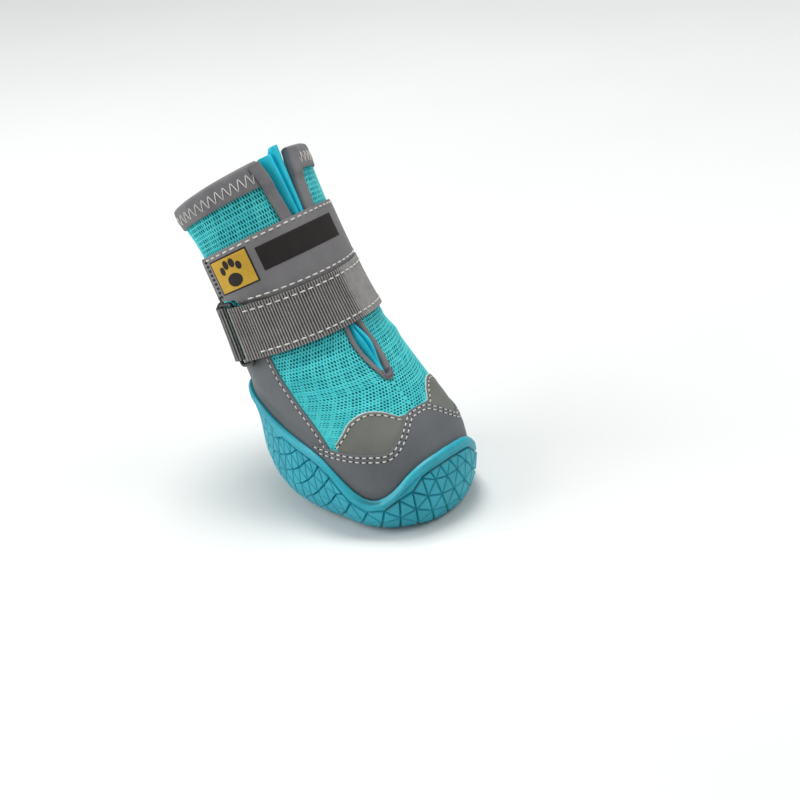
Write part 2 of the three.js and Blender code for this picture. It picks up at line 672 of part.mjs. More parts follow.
/** The upper strap, open at one side, where its end lies over the loop pad. */
function reflectiveGeometry() {
  const overPad = LOOP_PATCH.thick + GAP;
  const { from, climbFrom, climbTo } = LOOP_PATCH;
  const lift = (turn) => GAP + overPad * THREE.MathUtils.smoothstep(turn, from - climbFrom, from - climbTo);
  return patch({
    from: REFLECTIVE.start, to: REFLECTIVE.end, low: reflectiveBottom, high: () => REFLECTIVE.top,
    lift, thick: REFLECTIVE.thick, across: 46, up: 2,
  });
}

function loopPatchGeometry() {
  const low = (turn) => climb(turn, reflectiveBottom(turn), LOOP_PATCH.inset);
  const high = (turn) => climb(turn, REFLECTIVE.top, -LOOP_PATCH.inset);
  return patch({
    from: LOOP_PATCH.from, to: LOOP_PATCH.to, low, high,
    lift: resting, thick: LOOP_PATCH.thick, across: 12, up: 2,
  });
}

/** Webbing that follows a path of turns and lifts, such as a strap folded round a bar. */
function ribbon(path) {
  const { thick, bottom } = WEBBING;
  const sides = path.map((here, i) => {
    const [before, after] = [path[Math.max(i - 1, 0)], path[Math.min(i + 1, path.length - 1)]];
    const along = (after.turn - before.turn) * RING_MM_PER_DEGREE;
    const run = new THREE.Vector2(along, after.lift - before.lift).setLength(thick / 2);
    const [turn, lift] = [-run.y / RING_MM_PER_DEGREE, run.x];
    return [1, -1].map((sign) => ({ turn: here.turn + sign * turn, lift: here.lift + sign * lift }));
  });
  const face = (side) => (u, v) => {
    const { turn, lift } = sides[Math.round(u * (path.length - 1))][side];
    return skin(turn, bottom + (webbingTop(turn) - bottom) * v, lift);
  };
  return between(face(0), face(1), path.length - 1, 2);
}

/** A half circle of path points round a ring bar, from under it to over it. */
function foldRound(turn, way) {
  const radius = RING.bar + GAP + 0.15 + WEBBING.thick / 2;
  return Array.from({ length: FOLD_STEPS + 1 }, (_, i) => {
    const angle = (i / FOLD_STEPS) * Math.PI;
    return {
      turn: turn + (way * radius * Math.sin(angle)) / RING_MM_PER_DEGREE,
      lift: RING.lift - radius * Math.cos(angle),
    };
  });
}

const STRAP_LIFT = GAP + WEBBING.thick / 2;

function webbingGeometry() {
  const fold = foldRound(RING.near, 1);
  const upper = STRAP_LIFT + WEBBING.thick + GAP;
  const path = [
    { turn: RING.near - 16, lift: STRAP_LIFT },
    { turn: RING.near - 10, lift: STRAP_LIFT },
    { turn: RING.near - 5, lift: STRAP_LIFT + 0.05 },
    ...fold,
    { turn: RING.near - 5, lift: upper + 1.1 },
    { turn: RING.near - 10, lift: upper + 0.35 },
    { turn: RING.near - 18, lift: upper },
    { turn: RING.near - 26, lift: upper - 0.6 },
    { turn: RING.near - 34, lift: STRAP_LIFT },
  ];
  const end = TAB_END + 1 - LAST_TURN;
  const rounds = 28;
  const start = RING.near - 34;
  for (let i = 1; i <= rounds; i += 1) {
    path.push({ turn: start + ((end - start) * i) / rounds, lift: STRAP_LIFT });
  }
  return ribbon(path);
}

function ringTabGeometry() {
  const upper = STRAP_LIFT + WEBBING.thick + GAP;
  const path = [
    { turn: TAB_END - 2, lift: STRAP_LIFT },
    { turn: TAB_END - 10, lift: STRAP_LIFT },
    { turn: RING.far + 10, lift: STRAP_LIFT },
    { turn: RING.far + 5, lift: STRAP_LIFT + 0.05 },
    ...foldRound(RING.far, -1),
    { turn: RING.far + 5, lift: upper + 1.1 },
    { turn: RING.far + 11, lift: upper + 0.35 },
    { turn: RING.far + 18, lift: upper },
    { turn: TAB_END - 4, lift: upper },
  ];
  return ribbon(path);
}

/** The rectangular ring that joins the webbing to its tab: four round bars along the side of the shaft. */
function ringGeometry() {
  const middle = (WEBBING.bottom + webbingTop((RING.near + RING.far) / 2)) / 2;
  const ends = [[RING.near, -1], [RING.far, -1], [RING.far, 1], [RING.near, 1]];
  const corners = ends.map(([turn, way]) => (
    skin(turn, climb(turn, middle, (way * RING.length) / 2), RING.lift)
  ));
  const bars = corners.map((from, i) => {
    const to = corners[(i + 1) % corners.length];
    const bar = new THREE.CylinderGeometry(RING.bar, RING.bar, from.distanceTo(to), 8, 1);
    bar.applyQuaternion(new THREE.Quaternion().setFromUnitVectors(
      new THREE.Vector3(0, 1, 0), to.clone().sub(from).normalize(),
    ));
    bar.translate(...from.clone().add(to).divideScalar(2).toArray());
    const knuckle = new THREE.SphereGeometry(RING.bar, 8, 4);
    knuckle.translate(...from.toArray());
    return [bar, knuckle];
  });
  return toGeometry(bars.flat().map(weld).reduce((sum, solid) => sum.add(solid)));
}

function weld(geometry) {
  geometry.deleteAttribute('normal');
  geometry.deleteAttribute('uv');
  return toManifold(mergeVertices(geometry, 1e-4));
}

// ---- Assembly -----------------------------------------------------------------------------------

const boot = new THREE.Group();
boot.add(
  piece('outsole', outsoleGeometry(), 'rubber'),
  piece('insole', insoleGeometry(), 'board'),
  piece('upper', upperGeometry(), 'knit'),
  piece('gusset', gussetGeometry(), 'satin'),
  piece('collar_binding', bindingGeometry(), 'synthetic'),
  piece('toe_cap', toeCapGeometry(), 'synthetic'),
  piece('toe_patch_left', toePatchGeometry(1), 'synthetic'),
  piece('toe_patch_right', toePatchGeometry(-1), 'synthetic'),
  piece('mudguard', mudguardGeometry(), 'synthetic'),
  piece('reflective_strap', reflectiveGeometry(), 'reflective'),
  piece('loop_patch', loopPatchGeometry(), 'fuzz'),
  piece('webbing_strap', webbingGeometry(), 'webbing'),
  piece('ring_tab', ringTabGeometry(), 'webbing'),
  piece('strap_ring', ringGeometry(), 'plastic'),
);

// The origin lies on the ground under the middle of the boot's length.
const box = new THREE.Box3().setFromObject(boot);
boot.position.set(0, -(box.min.y + box.max.y) / 2, 0);

export default boot;
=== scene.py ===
"""A dog boot: its surfaces, panels, straps and stitches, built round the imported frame.

Lengths inside the classes are millimetres and are turned to metres when a mesh is made. x runs across the boot, y runs
back from the toe and z runs up. A turn is an angle round the boot in degrees: 0 is +x, 90 the toe, 180 -x and 270 the
heel. A level counts the rows of LAST_ROWS from the feather line up to the collar.
"""

import logging
import math
from dataclasses import dataclass
from enum import Enum
from typing import Callable, Sequence

import bpy
import numpy as np
from mathutils import Matrix, Vector
from mathutils.kdtree import KDTree


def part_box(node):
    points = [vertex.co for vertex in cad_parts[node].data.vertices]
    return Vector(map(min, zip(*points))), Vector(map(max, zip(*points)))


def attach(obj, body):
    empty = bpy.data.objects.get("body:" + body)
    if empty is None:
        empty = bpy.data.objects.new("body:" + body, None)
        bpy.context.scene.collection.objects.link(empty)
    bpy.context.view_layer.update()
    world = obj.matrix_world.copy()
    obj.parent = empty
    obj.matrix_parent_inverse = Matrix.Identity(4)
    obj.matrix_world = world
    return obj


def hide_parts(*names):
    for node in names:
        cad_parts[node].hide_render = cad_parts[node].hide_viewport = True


LOG = logging.getLogger("boot")
MM = 0.001
ROOT = "root"
GROOVE = "groove"
RIBBED = "ribbed"
TOE = 90.0

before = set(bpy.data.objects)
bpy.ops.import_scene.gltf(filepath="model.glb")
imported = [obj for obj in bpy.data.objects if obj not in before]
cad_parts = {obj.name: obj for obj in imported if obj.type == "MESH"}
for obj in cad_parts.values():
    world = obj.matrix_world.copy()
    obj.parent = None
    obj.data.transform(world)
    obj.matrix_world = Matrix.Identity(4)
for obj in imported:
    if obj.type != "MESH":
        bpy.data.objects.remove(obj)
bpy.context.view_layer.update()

Array = np.ndarray
Place = Callable[[Array, Array], Array]


# ---- The last: the upper's own surface ------------------------------------------------------------------------------


@dataclass(frozen=True)
class Row:
    """One cross section of the upper: where its front and back lie, and the shape of its oval."""

    name: str
    front_p: float
    front_z: float
    back_p: float
    back_z: float
    half: float
    square: float
    taper: float

    def numbers(self) -> tuple[float, ...]:
        """The row's seven sizes."""
        return (self.front_p, self.front_z, self.back_p, self.back_z, self.half, self.square, self.taper)


LAST_ROWS = (
    Row("feather", 38.0, 10.4, -33.0, 10.4, 27.6, 2.35, 0.06),
    Row("toe top", 37.3, 25.0, -37.0, 21.0, 29.0, 2.30, 0.06),
    Row("cap crest", 32.6, 33.8, -38.9, 29.0, 28.8, 2.25, 0.05),
    Row("vamp", 24.6, 41.4, -40.9, 35.5, 28.8, 2.20, 0.04),
    Row("slit end", 14.0, 51.0, -43.2, 41.5, 29.2, 2.15, 0.03),
    Row("instep", 1.5, 63.5, -45.6, 49.5, 29.0, 2.10, 0.02),
    Row("ankle", -7.5, 77.5, -49.4, 60.0, 28.0, 2.05, 0.0),
    Row("shin", -15.2, 92.5, -54.8, 72.5, 27.4, 2.0, 0.0),
    Row("calf", -22.8, 107.0, -61.4, 86.0, 27.6, 2.0, 0.0),
    Row("collar", -33.6, 128.0, -70.6, 102.5, 29.2, 2.0, 0.0),
)
COLLAR = len(LAST_ROWS) - 1

RIM_WAVE = ((0, 1.18), (15, 1.1), (28, 0.86), (40, 0.48), (52, 0.26), (62, 0.37), (72, 0.83), (82, 1.6),
            (94, 2.3), (106, 3.0), (118, 3.7), (140, 4.1), (180, 4.1))
CAP_WAVE = ((0, 2.92), (8, 2.86), (14.5, 2.62), (23.5, 2.2), (35, 1.78), (48, 1.78), (60, 1.84), (74, 1.97), (88, 2.2))
PATCH_WAVE = ((13, 2.88), (21, 3.18), (33, 3.32), (48, 3.08), (59, 2.6), (67, 2.2))
SLIT_HALF = ((4.0, 0.5), (4.3, 2.5), (4.75, 3.7), (5.1, 3.4), (5.5, 2.6), (6.5, 2.3), (8.0, 4.0), (8.75, 6.2),
             (9.0, 7.6), (9.6, 8.6))


def read_table(table: Sequence[tuple[float, float]], key: Array) -> Array:
    """Reads a table by a smooth curve through its rows.

    Args:
        table: Rows of a key and a value, keys rising.
        key: The keys to read at.

    Returns:
        The values, held constant past both ends.
    """
    keys, values = np.array(table, float).T
    last = len(keys) - 1
    before, after = np.maximum(np.arange(last + 1) - 1, 0), np.minimum(np.arange(last + 1) + 1, last)
    slopes = (values[after] - values[before]) / (keys[after] - keys[before])
    index = np.clip(np.searchsorted(keys, key, side="right") - 1, 0, last - 1)
    span = keys[index + 1] - keys[index]
    t = np.clip((key - keys[index]) / span, 0, 1)
    m, n = slopes[index] * span, slopes[index + 1] * span
    u, v = t * t, t**3
    return ((2 * v - 3 * u + 1) * values[index] + (v - 2 * u + t) * m
            + (3 * u - 2 * v) * values[index + 1] + (v - u) * n)


def signed(angle: Array) -> Array:
    """An angle brought between -180 and 180 degrees."""
    return np.mod(angle + 180, 360) - 180


def from_toe(turn: Array) -> Array:
    """How many degrees a turn lies from the toe, on either side."""
    return np.abs(signed(turn - TOE))


def smoothstep(value: Array, low: float, high: float) -> Array:
    """0 below low, 1 above high and an even curve between."""
    t = np.clip((value - low) / (high - low), 0, 1)
    return t * t * (3 - 2 * t)


def bell(value: Array, middle: float, width: float) -> Array:
    """1 at the middle, falling away evenly on both sides."""
    return np.exp(-(((value - middle) / width) ** 2))


def unit(rows: Array) -> Array:
    """Vectors brought to a length of one."""
    return rows / np.linalg.norm(rows, axis=-1, keepdims=True)


def run_length(line: Array) -> Array:
    """How far along a line of points each of them lies."""
    return np.concatenate([[0], np.cumsum(np.linalg.norm(np.diff(line, axis=0), axis=1))])


def resample(keys: Array, line: Array, at: Array) -> Array:
    """Points of a line at other keys."""
    return np.column_stack([np.interp(at, keys, column) for column in line.T])


def with_ends(rows: Array) -> Array:
    """Rows with one more carried on straight at each end."""
    return np.vstack([2 * rows[0] - rows[1], rows, 2 * rows[-1] - rows[-2]])


def catmull_rom(a: Array, b: Array, c: Array, d: Array, t: Array) -> Array:
    """A smooth curve from b to c at share t, between neighbours a and d."""
    return 0.5 * (2 * b + (c - a) * t + (2 * a - 5 * b + 4 * c - d) * t**2 + (3 * b - a - 3 * c + d) * t**3)


@dataclass(frozen=True)
class Crease:
    """A soft trough (or ridge, if its depth is negative) in the cloth.

    turn and level are its middle, along and up how far it reaches in degrees and levels, lean how many degrees it
    shifts per level, and depth how far it goes in.
    """

    turn: float
    level: float
    along: float
    up: float
    lean: float
    depth: float

    def drop(self, turn: Array, level: Array) -> Array:
        """How far the surface goes in at each place.

        Args:
            turn: Degrees round the boot.
            level: Levels up the boot.

        Returns:
            Millimetres in from the plain face.
        """
        rise = level - self.level
        aside = signed(turn - self.turn - self.lean * rise) / self.along
        return self.depth * np.exp(-(aside**2) - (rise / self.up) ** 2)


CREASES = (
    Crease(128, 4.98, 18, 0.12, 0, 1.0),
    Crease(52, 4.98, 18, 0.12, 0, 1.0),
    Crease(112, 4.3, 5, 0.7, -8, 0.6),
    Crease(70, 4.4, 5, 0.7, 8, 0.6),
    Crease(148, 4.6, 14, 0.16, 3, -0.6),
    Crease(32, 4.6, 14, 0.16, -3, -0.6),
    Crease(120, 3.75, 7, 0.22, -10, 0.35),
    Crease(60, 3.8, 7, 0.22, 10, 0.35),
    Crease(146, 8.3, 9, 0.3, 10, 0.75),
    Crease(178, 8.25, 7, 0.3, -6, 0.65),
    Crease(215, 8.3, 9, 0.3, 8, 0.9),
    Crease(20, 8.3, 9, 0.3, -10, 0.75),
    Crease(325, 8.3, 9, 0.3, 6, 0.9),
    Crease(270, 8.35, 12, 0.25, 0, 1.0),
    Crease(115, 8.9, 10, 0.4, 0, -0.6),
    Crease(160, 8.9, 12, 0.4, 0, 0.7),
    Crease(200, 8.9, 12, 0.4, 0, -0.8),
    Crease(240, 8.9, 14, 0.4, 0, 0.8),
    Crease(300, 8.9, 14, 0.4, 0, -0.8),
    Crease(345, 8.9, 14, 0.4, 0, 0.7),
)


class Last:
    """The form that every piece of the upper is wrapped on."""

    def __init__(self, rows: Sequence[Row], creases: Sequence[Crease]) -> None:
        """Keeps the rows and finds where the frame put them.

        Args:
            rows: The cross sections from the feather line up.
            creases: Troughs and ridges that every layer follows.
        """
        self.table = with_ends(np.array([row.numbers() for row in rows]))
        self.creases = creases
        self.shift = 0.0
        around = np.linspace(0, 360, 181)
        toe = min(self.plain(around, np.full_like(around, level))[:, 1].min() for level in (0.0, 0.3, 0.6))
        self.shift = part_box("upper")[0].y / MM - toe

    def section(self, level: Array) -> Array:
        """The sizes of the oval at each level, by a Catmull-Rom curve through the rows.

        Args:
            level: Levels up the boot.

        Returns:
            One row of the seven sizes for each level.
        """
        index = np.clip(np.floor(level), 0, COLLAR - 1).astype(int)
        t = (level - index)[:, None]
        return catmull_rom(*(self.table[index + step] for step in range(4)), t)

    def plain(self, turn: Array, level: Array) -> Array:
        """Points of the bare form, without creases.

        Args:
            turn: Degrees round the boot.
            level: Levels up the boot.

        Returns:
            One point a row, in millimetres.
        """
        front_p, front_z, back_p, back_z, half, square, taper = self.section(level).T
        angle = np.radians(turn)
        reach, side = (np.sign(part) * np.abs(part) ** (2 / square) for part in (np.sin(angle), np.cos(angle)))
        p = (front_p + back_p) / 2 + reach * (front_p - back_p) / 2
        z = (front_z + back_z) / 2 + reach * (front_z - back_z) / 2
        return np.column_stack([half * (1 + taper * reach) * side, self.shift - p, z])

    def normal(self, turn: Array, level: Array) -> Array:
        """Unit normals that point out of the form.

        Args:
            turn: Degrees round the boot.
            level: Levels up the boot.

        Returns:
            One unit vector a row.
        """
        by_turn, by_level = 0.6, 0.03
        around = self.plain(turn + by_turn, level) - self.plain(turn - by_turn, level)
        along = self.plain(turn, level + by_level) - self.plain(turn, level - by_level)
        return unit(np.cross(along, around))

    def skin(self, turn: Array, level: Array, lift: Array | float = 0.0) -> Array:
        """Points lifted off the creased face.

        Args:
            turn: Degrees round the boot.
            level: Levels up the boot.
            lift: Millimetres out from the upper's outer face.

        Returns:
            One point a row, in millimetres.
        """
        turn, level = np.broadcast_arrays(np.asarray(turn, float), np.asarray(level, float))
        turn, level = turn.ravel(), level.ravel()
        drop = sum(crease.drop(turn, level) for crease in self.creases)
        height = np.broadcast_to(lift, turn.shape) - drop
        return self.plain(turn, level) + self.normal(turn, level) * height[:, None]

    def turn_at_x(self, level: Array, x: Array) -> Array:
        """The turn on the front at which the face is x millimetres off the middle.

        Args:
            level: Levels up the boot.
            x: Millimetres off the middle.

        Returns:
            Degrees round the boot.
        """
        section = self.section(level)
        share = np.abs(x) / (section[:, 4] * (1 + section[:, 6]))
        return TOE - np.sign(x) * (90 - np.degrees(np.arccos(share ** (section[:, 5] / 2))))

    def climb(self, turn: Array, level: Array | float, distance: Array | float) -> Array:
        """The level reached after a distance up the face (or down it, if negative).

        Args:
            turn: Degrees round the boot.
            level: Where the climb starts.
            distance: Millimetres up the face.

        Returns:
            The levels reached.
        """
        at = np.broadcast_to(np.asarray(level, float), turn.shape).copy()
        steps, near = 12, 0.02
        for _ in range(steps):
            slope = np.linalg.norm(self.plain(turn, at + near) - self.plain(turn, at - near), axis=1) / (2 * near)
            at += distance / steps / slope
        return at

    def beside(self, turn: Array, level: Array, distance: Array | float) -> tuple[Array, Array]:
        """A line shifted sideways on the face.

        Args:
            turn: The line's turns.
            level: The line's levels.
            distance: Millimetres to the left of its run, seen from outside.

        Returns:
            The shifted line's turns and levels.
        """
        steps, near, half_degree = 4, 0.02, 0.5
        for _ in range(steps):
            around = self.plain(turn + half_degree, level) - self.plain(turn - half_degree, level)
            along = (self.plain(turn, level + near) - self.plain(turn, level - near)) / (2 * near)
            run = np.gradient(self.plain(turn, level), axis=0)
            side = unit(np.cross(np.cross(along, around), run))
            wanted = side * (np.broadcast_to(distance, turn.shape) / steps)[:, None]
            aa, bb, ab = ((p * q).sum(1) for p, q in ((around, around), (along, along), (around, along)))
            aw, bw = (around * wanted).sum(1), (along * wanted).sum(1)
            scale = aa * bb - ab * ab
            turn, level = turn + (aw * bb - bw * ab) / scale, level + (bw * aa - aw * ab) / scale
        return turn, level


LAST = Last(LAST_ROWS, CREASES)


# ---- Sizes that pieces share ----------------------------------------------------------------------------------------


@dataclass(frozen=True)
class Fit:
    """Gaps, thicknesses and levels that more than one piece needs."""

    gap: float = 0.3
    wall: float = 2.0
    cap_thick: float = 0.9
    tuck: float = 0.4
    cap_end: float = 85.0
    patch_from: float = 9.5
    patch_to: float = 67.5
    mudguard_front: float = 74.0
    webbing_width: float = 20.5
    webbing_thick: float = 1.1
    webbing_bottom: float = 5.34
    strap_tuck: float = 1.5
    strap_ring_space: float = 2.6
    space_opens: tuple[float, float] = (163.5, 173.5)
    space_closes: tuple[float, float] = (204.0, 214.0)
    reflective_thick: float = 1.2
    reflective_top: float = 8.05
    reflective_start: float = -149.0
    reflective_end: float = 188.0
    pad_thick: float = 1.0
    pad_from: float = 150.0
    pad_to: float = 210.4
    pad_ramp: tuple[float, float] = (16.0, 3.0)
    binding_low: float = 8.66
    binding_inside: float = 8.72

    @property
    def cup(self) -> float:
        """From the upper's face to the inside of the cup sole."""
        return 2 * self.gap + self.cap_thick

    def rim(self, turn: Array) -> Array:
        """The level of the cup's rim."""
        return read_table(RIM_WAVE, from_toe(turn))

    def cap(self, turn: Array) -> Array:
        """The level of the toe cap's upper edge."""
        return read_table(CAP_WAVE, from_toe(turn))

    def patch(self, turn: Array) -> Array:
        """The level of a toe patch's upper edge."""
        return read_table(PATCH_WAVE, from_toe(turn))

    def slit(self, level: Array) -> Array:
        """Half the width of the throat slit; none below its end."""
        return read_table(SLIT_HALF, level) * (level > SLIT_HALF[0][0])

    def webbing_top(self, turn: Array) -> Array:
        """The level of the webbing's upper edge."""
        return LAST.climb(turn, self.webbing_bottom, self.webbing_width)

    def reflective_bottom(self, turn: Array) -> Array:
        """The level of the reflective strap's lower edge, clear of the webbing and of its ring."""
        return LAST.climb(turn, self.webbing_top(turn), self.strap_space(turn))

    def strap_space(self, turn: Array) -> Array:
        """Millimetres between the two straps; below none, the upper one runs on under the webbing.

        Args:
            turn: Degrees round the boot.

        Returns:
            The space at each turn.
        """
        rise = np.where(turn < 0, 1.0, smoothstep(turn, *self.space_opens))
        fall = smoothstep(np.where(turn < 0, turn + 360, turn), *self.space_closes)
        return (self.strap_ring_space + self.strap_tuck) * np.maximum(0, rise - fall) - self.strap_tuck

    def reflective_lift(self, turn: Array) -> Array:
        """The lift of the reflective strap's underside, which rises over the loop pad."""
        far, near = self.pad_ramp
        return self.gap + (self.pad_thick + self.gap) * smoothstep(turn, self.pad_from - far, self.pad_from - near)


FIT = Fit()


# ---- Finishes -------------------------------------------------------------------------------------------------------


def linear(tone: str) -> tuple[float, float, float, float]:
    """A six-figure screen colour as the linear colour that shaders take."""
    parts = [int(tone[i : i + 2], 16) / 255 for i in (0, 2, 4)]
    return (*(c / 12.92 if c <= 0.04045 else ((c + 0.055) / 1.055) ** 2.4 for c in parts), 1.0)


CLOUD_STOPS = (0.32, 0.62)  # where the noise turns from the shade to the tone
# the fine height is painted into the colour: painted shade in its hollows, painted light on its tops
FINE_RANGE = (0.25, 0.75)  # the part of the fine height that shades the colour
BRIGHTEST = 1.25
GLOSS_SWING = 0.09
UV_MM = 10.0  # UV maps are in centimetres
SHAFT_DEGREE = 0.43  # millimetres a degree round the side of the shaft
ONE_BAND = 0.314  # the wave texture's scale for one band a unit


class Pattern(Enum):
    """What the fine surface of a finish is made of."""

    GRAIN = "grain"
    WEAVE = "weave"
    FIBRE = "fibre"
    TWIST = "twist"
    RIB = "rib"


class Graph:
    """A material's nodes: adds them with their values and joins their sockets."""

    def __init__(self, made: bpy.types.Material) -> None:
        """Starts from the nodes that a new material has.

        Args:
            made: The new material.
        """
        made.use_nodes = True
        self.nodes, self.links = made.node_tree.nodes, made.node_tree.links
        self.place = self.nodes.new("ShaderNodeTexCoord")

    def fill(self, node: bpy.types.Node, values: dict[int | str, object]) -> None:
        """Gives each named input the value it holds, or joins it to the socket it reads.

        Args:
            node: The node whose inputs are set.
            values: What each input holds or reads.
        """
        for key, value in values.items():
            if isinstance(value, bpy.types.NodeSocket):
                self.links.new(value, node.inputs[key])
            else:
                node.inputs[key].default_value = value

    def add(self, kind: str, values: dict[int | str, object], **settings: object) -> bpy.types.Node:
        """Adds a node.

        Args:
            kind: The node's type, without the ShaderNode in front.
            values: What each input holds or reads.
            settings: The node's own options, set before its inputs.

        Returns:
            The node.
        """
        node = self.nodes.new("ShaderNode" + kind)
        for name, value in settings.items():
            setattr(node, name, value)
        self.fill(node, values)
        return node

    def mix(self, factor: object, first: object, second: object, **settings: object) -> bpy.types.NodeSocket:
        """Two sockets or values mixed by a factor."""
        return self.add("Mix", {"Factor": factor, "A": first, "B": second}, **settings).outputs["Result"]

    def attribute(self, name: str) -> bpy.types.NodeSocket:
        """A number that the mesh itself carries at each point."""
        return self.add("Attribute", {}, attribute_name=name).outputs["Fac"]

    def spread(self, value: bpy.types.NodeSocket, low: float, high: float,
               source: tuple[float, float] = (0.0, 1.0)) -> bpy.types.NodeSocket:
        """A socket spread from its own range on to another."""
        return self.add("MapRange", {"Value": value, "From Min": source[0], "From Max": source[1],
                                     "To Min": low, "To Max": high}).outputs[0]

    def noise(self, size: float, detail: float, stretch: tuple[float, ...] = (1, 1, 1)) -> bpy.types.NodeSocket:
        """A noise with features of a size in millimetres, in the object's own space.

        Args:
            size: How large its features are, in millimetres.
            detail: How many finer layers it has.
            stretch: How much finer it is along each axis.

        Returns:
            The noise, from 0 to 1.
        """
        mapping = self.add("Mapping", {0: self.place.outputs["Object"],
                                       "Scale": tuple(part / (size * MM) for part in stretch)})
        return self.add("TexNoise", {"Vector": mapping.outputs[0], "Scale": 1.0, "Detail": detail,
                                     "Roughness": 0.6}).outputs["Fac"]

    def wave(self, pitch: float, angle: float, distortion: float) -> bpy.types.NodeSocket:
        """Bands of a pitch in millimetres across the sheet's UV map, dark at the map's edge.

        Args:
            pitch: Millimetres from one band to the next.
            angle: Degrees that the bands are turned.
            distortion: How uneven they are.

        Returns:
            The height of the bands, from 0 to 1.
        """
        mapping = self.add("Mapping", {0: self.place.outputs["UV"], "Rotation": (0, 0, math.radians(angle)),
                                       "Scale": (UV_MM / pitch, UV_MM / pitch, 1)})
        return self.add("TexWave", {"Vector": mapping.outputs[0], "Scale": ONE_BAND, "Distortion": distortion,
                                    "Detail Scale": 3.0}).outputs["Fac"]


@dataclass(frozen=True)
class Finish:
    """How one kind of surface looks.

    tone is its colour and shade its darker cloudy patches; clouds is how large those are. fine is the size of its grain
    or yarn and relief how deep that goes. sheen is the soft bloom of cloth. contrast is how strongly the fine surface's
    height is painted into the colour: painted shade down to darkest in its hollows and painted light on its tops. The
    groove tone is painted shade, laid in the grooves that a mesh marks. roughness and specular set its gloss, and
    pattern is what its fine surface is made of.
    """

    name: str
    tone: str
    shade: str
    roughness: float
    clouds: float = 9.0
    fine: float = 0.4
    relief: float = 0.03
    sheen: float = 0.0
    specular: float = 0.5
    contrast: float = 0.35
    groove_shade_tone: str = ""
    darkest: float = 0.45
    pattern: Pattern = Pattern.GRAIN

    def material(self) -> bpy.types.Material:
        """The finish as a material, made once.

        Returns:
            The material.
        """
        made = bpy.data.materials.get(self.name)
        if made:
            return made
        made = bpy.data.materials.new(self.name)
        made.diffuse_color = linear(self.tone)
        graph = Graph(made)
        ramp = graph.add("ValToRGB", {0: graph.noise(self.clouds, 4.0)})
        for stop, position, tone in zip(ramp.color_ramp.elements, CLOUD_STOPS, (self.shade, self.tone)):
            stop.position, stop.color = position, linear(tone)
        height = self.fine_height(graph)
        # painted shade and light: the colour is multiplied by the fine height, darker in its hollows and lighter on its
        # tops
        grey = graph.spread(height, self.darkest, BRIGHTEST, FINE_RANGE)
        colour = graph.mix(self.contrast, ramp.outputs[0], grey, data_type="RGBA", blend_type="MULTIPLY")
        # painted shade: the groove tone is blended in wherever the mesh marks the rubber as hollow
        if self.groove_shade_tone:
            colour = graph.mix(graph.attribute(GROOVE), colour, linear(self.groove_shade_tone), data_type="RGBA")
        low, high = max(self.roughness - GLOSS_SWING, 0.02), min(self.roughness + GLOSS_SWING, 1.0)
        bump = graph.add("Bump", {"Strength": 0.8, "Distance": self.relief * MM, "Height": height})
        graph.fill(made.node_tree.nodes["Principled BSDF"], {
            "Base Color": colour,
            "Roughness": graph.spread(height, low, high),
            "Specular IOR Level": self.specular,
            "Sheen Weight": self.sheen,
            "Sheen Roughness": 0.4,
            "Normal": bump.outputs[0],
        })
        return made

    def fine_height(self, graph: Graph) -> bpy.types.NodeSocket:
        """The height of the fine surface: grain, a plain weave, fibres, ribs or twisted yarn.

        Args:
            graph: The material's nodes.

        Returns:
            The height, from 0 to 1.
        """
        grain = graph.noise(self.fine, 5.0)
        if self.pattern is Pattern.GRAIN:
            return grain
        if self.pattern is Pattern.FIBRE:
            return graph.noise(self.fine, 8.0, (1.0, 3.0, 1.6))
        if self.pattern is Pattern.RIB:
            return self.rib_height(graph, grain)
        angles, operation = ((0, 90), "MAXIMUM") if self.pattern is Pattern.WEAVE else ((45, -45), "MULTIPLY")
        first, second = (graph.wave(self.fine, angle, 0.6) for angle in angles)
        yarns = graph.add("Math", {0: first, 1: second}, operation=operation)
        return graph.mix(0.35, yarns.outputs[0], grain)

    def rib_height(self, graph: Graph, grain: bpy.types.NodeSocket) -> bpy.types.NodeSocket:
        """Crosswise ribs where the mesh's own attribute says so, and a fine twill elsewhere.

        Args:
            graph: The material's nodes.
            grain: The yarn's own noise.

        Returns:
            The height, from 0 to 1.
        """
        ribs = graph.mix(0.16, graph.wave(self.fine, 0, 0.15), graph.wave(self.fine * 0.55, 90, 0.4))
        twill = graph.mix(0.5, graph.wave(self.fine * 0.5, 35, 0.5), grain)
        raised = graph.add("Math", {0: twill, 1: 0.3, 2: 0.56}, operation="MULTIPLY_ADD")
        return graph.mix(0.12, graph.mix(graph.attribute(RIBBED), raised.outputs[0], ribs), grain)


# the rubber's groove tone is painted shade in the grooves between the lugs
RUBBER = Finish("moulded_rubber", "23A8BA", "1A98AB", 0.45, clouds=14, fine=0.5, relief=0.02, specular=0.45,
                groove_shade_tone="07404C")
KNIT = Finish("air_mesh_knit", "4ED0D3", "3BBDC3", 0.85, clouds=6, fine=0.28, relief=0.09, sheen=0.15,
              specular=0.25, pattern=Pattern.FIBRE)
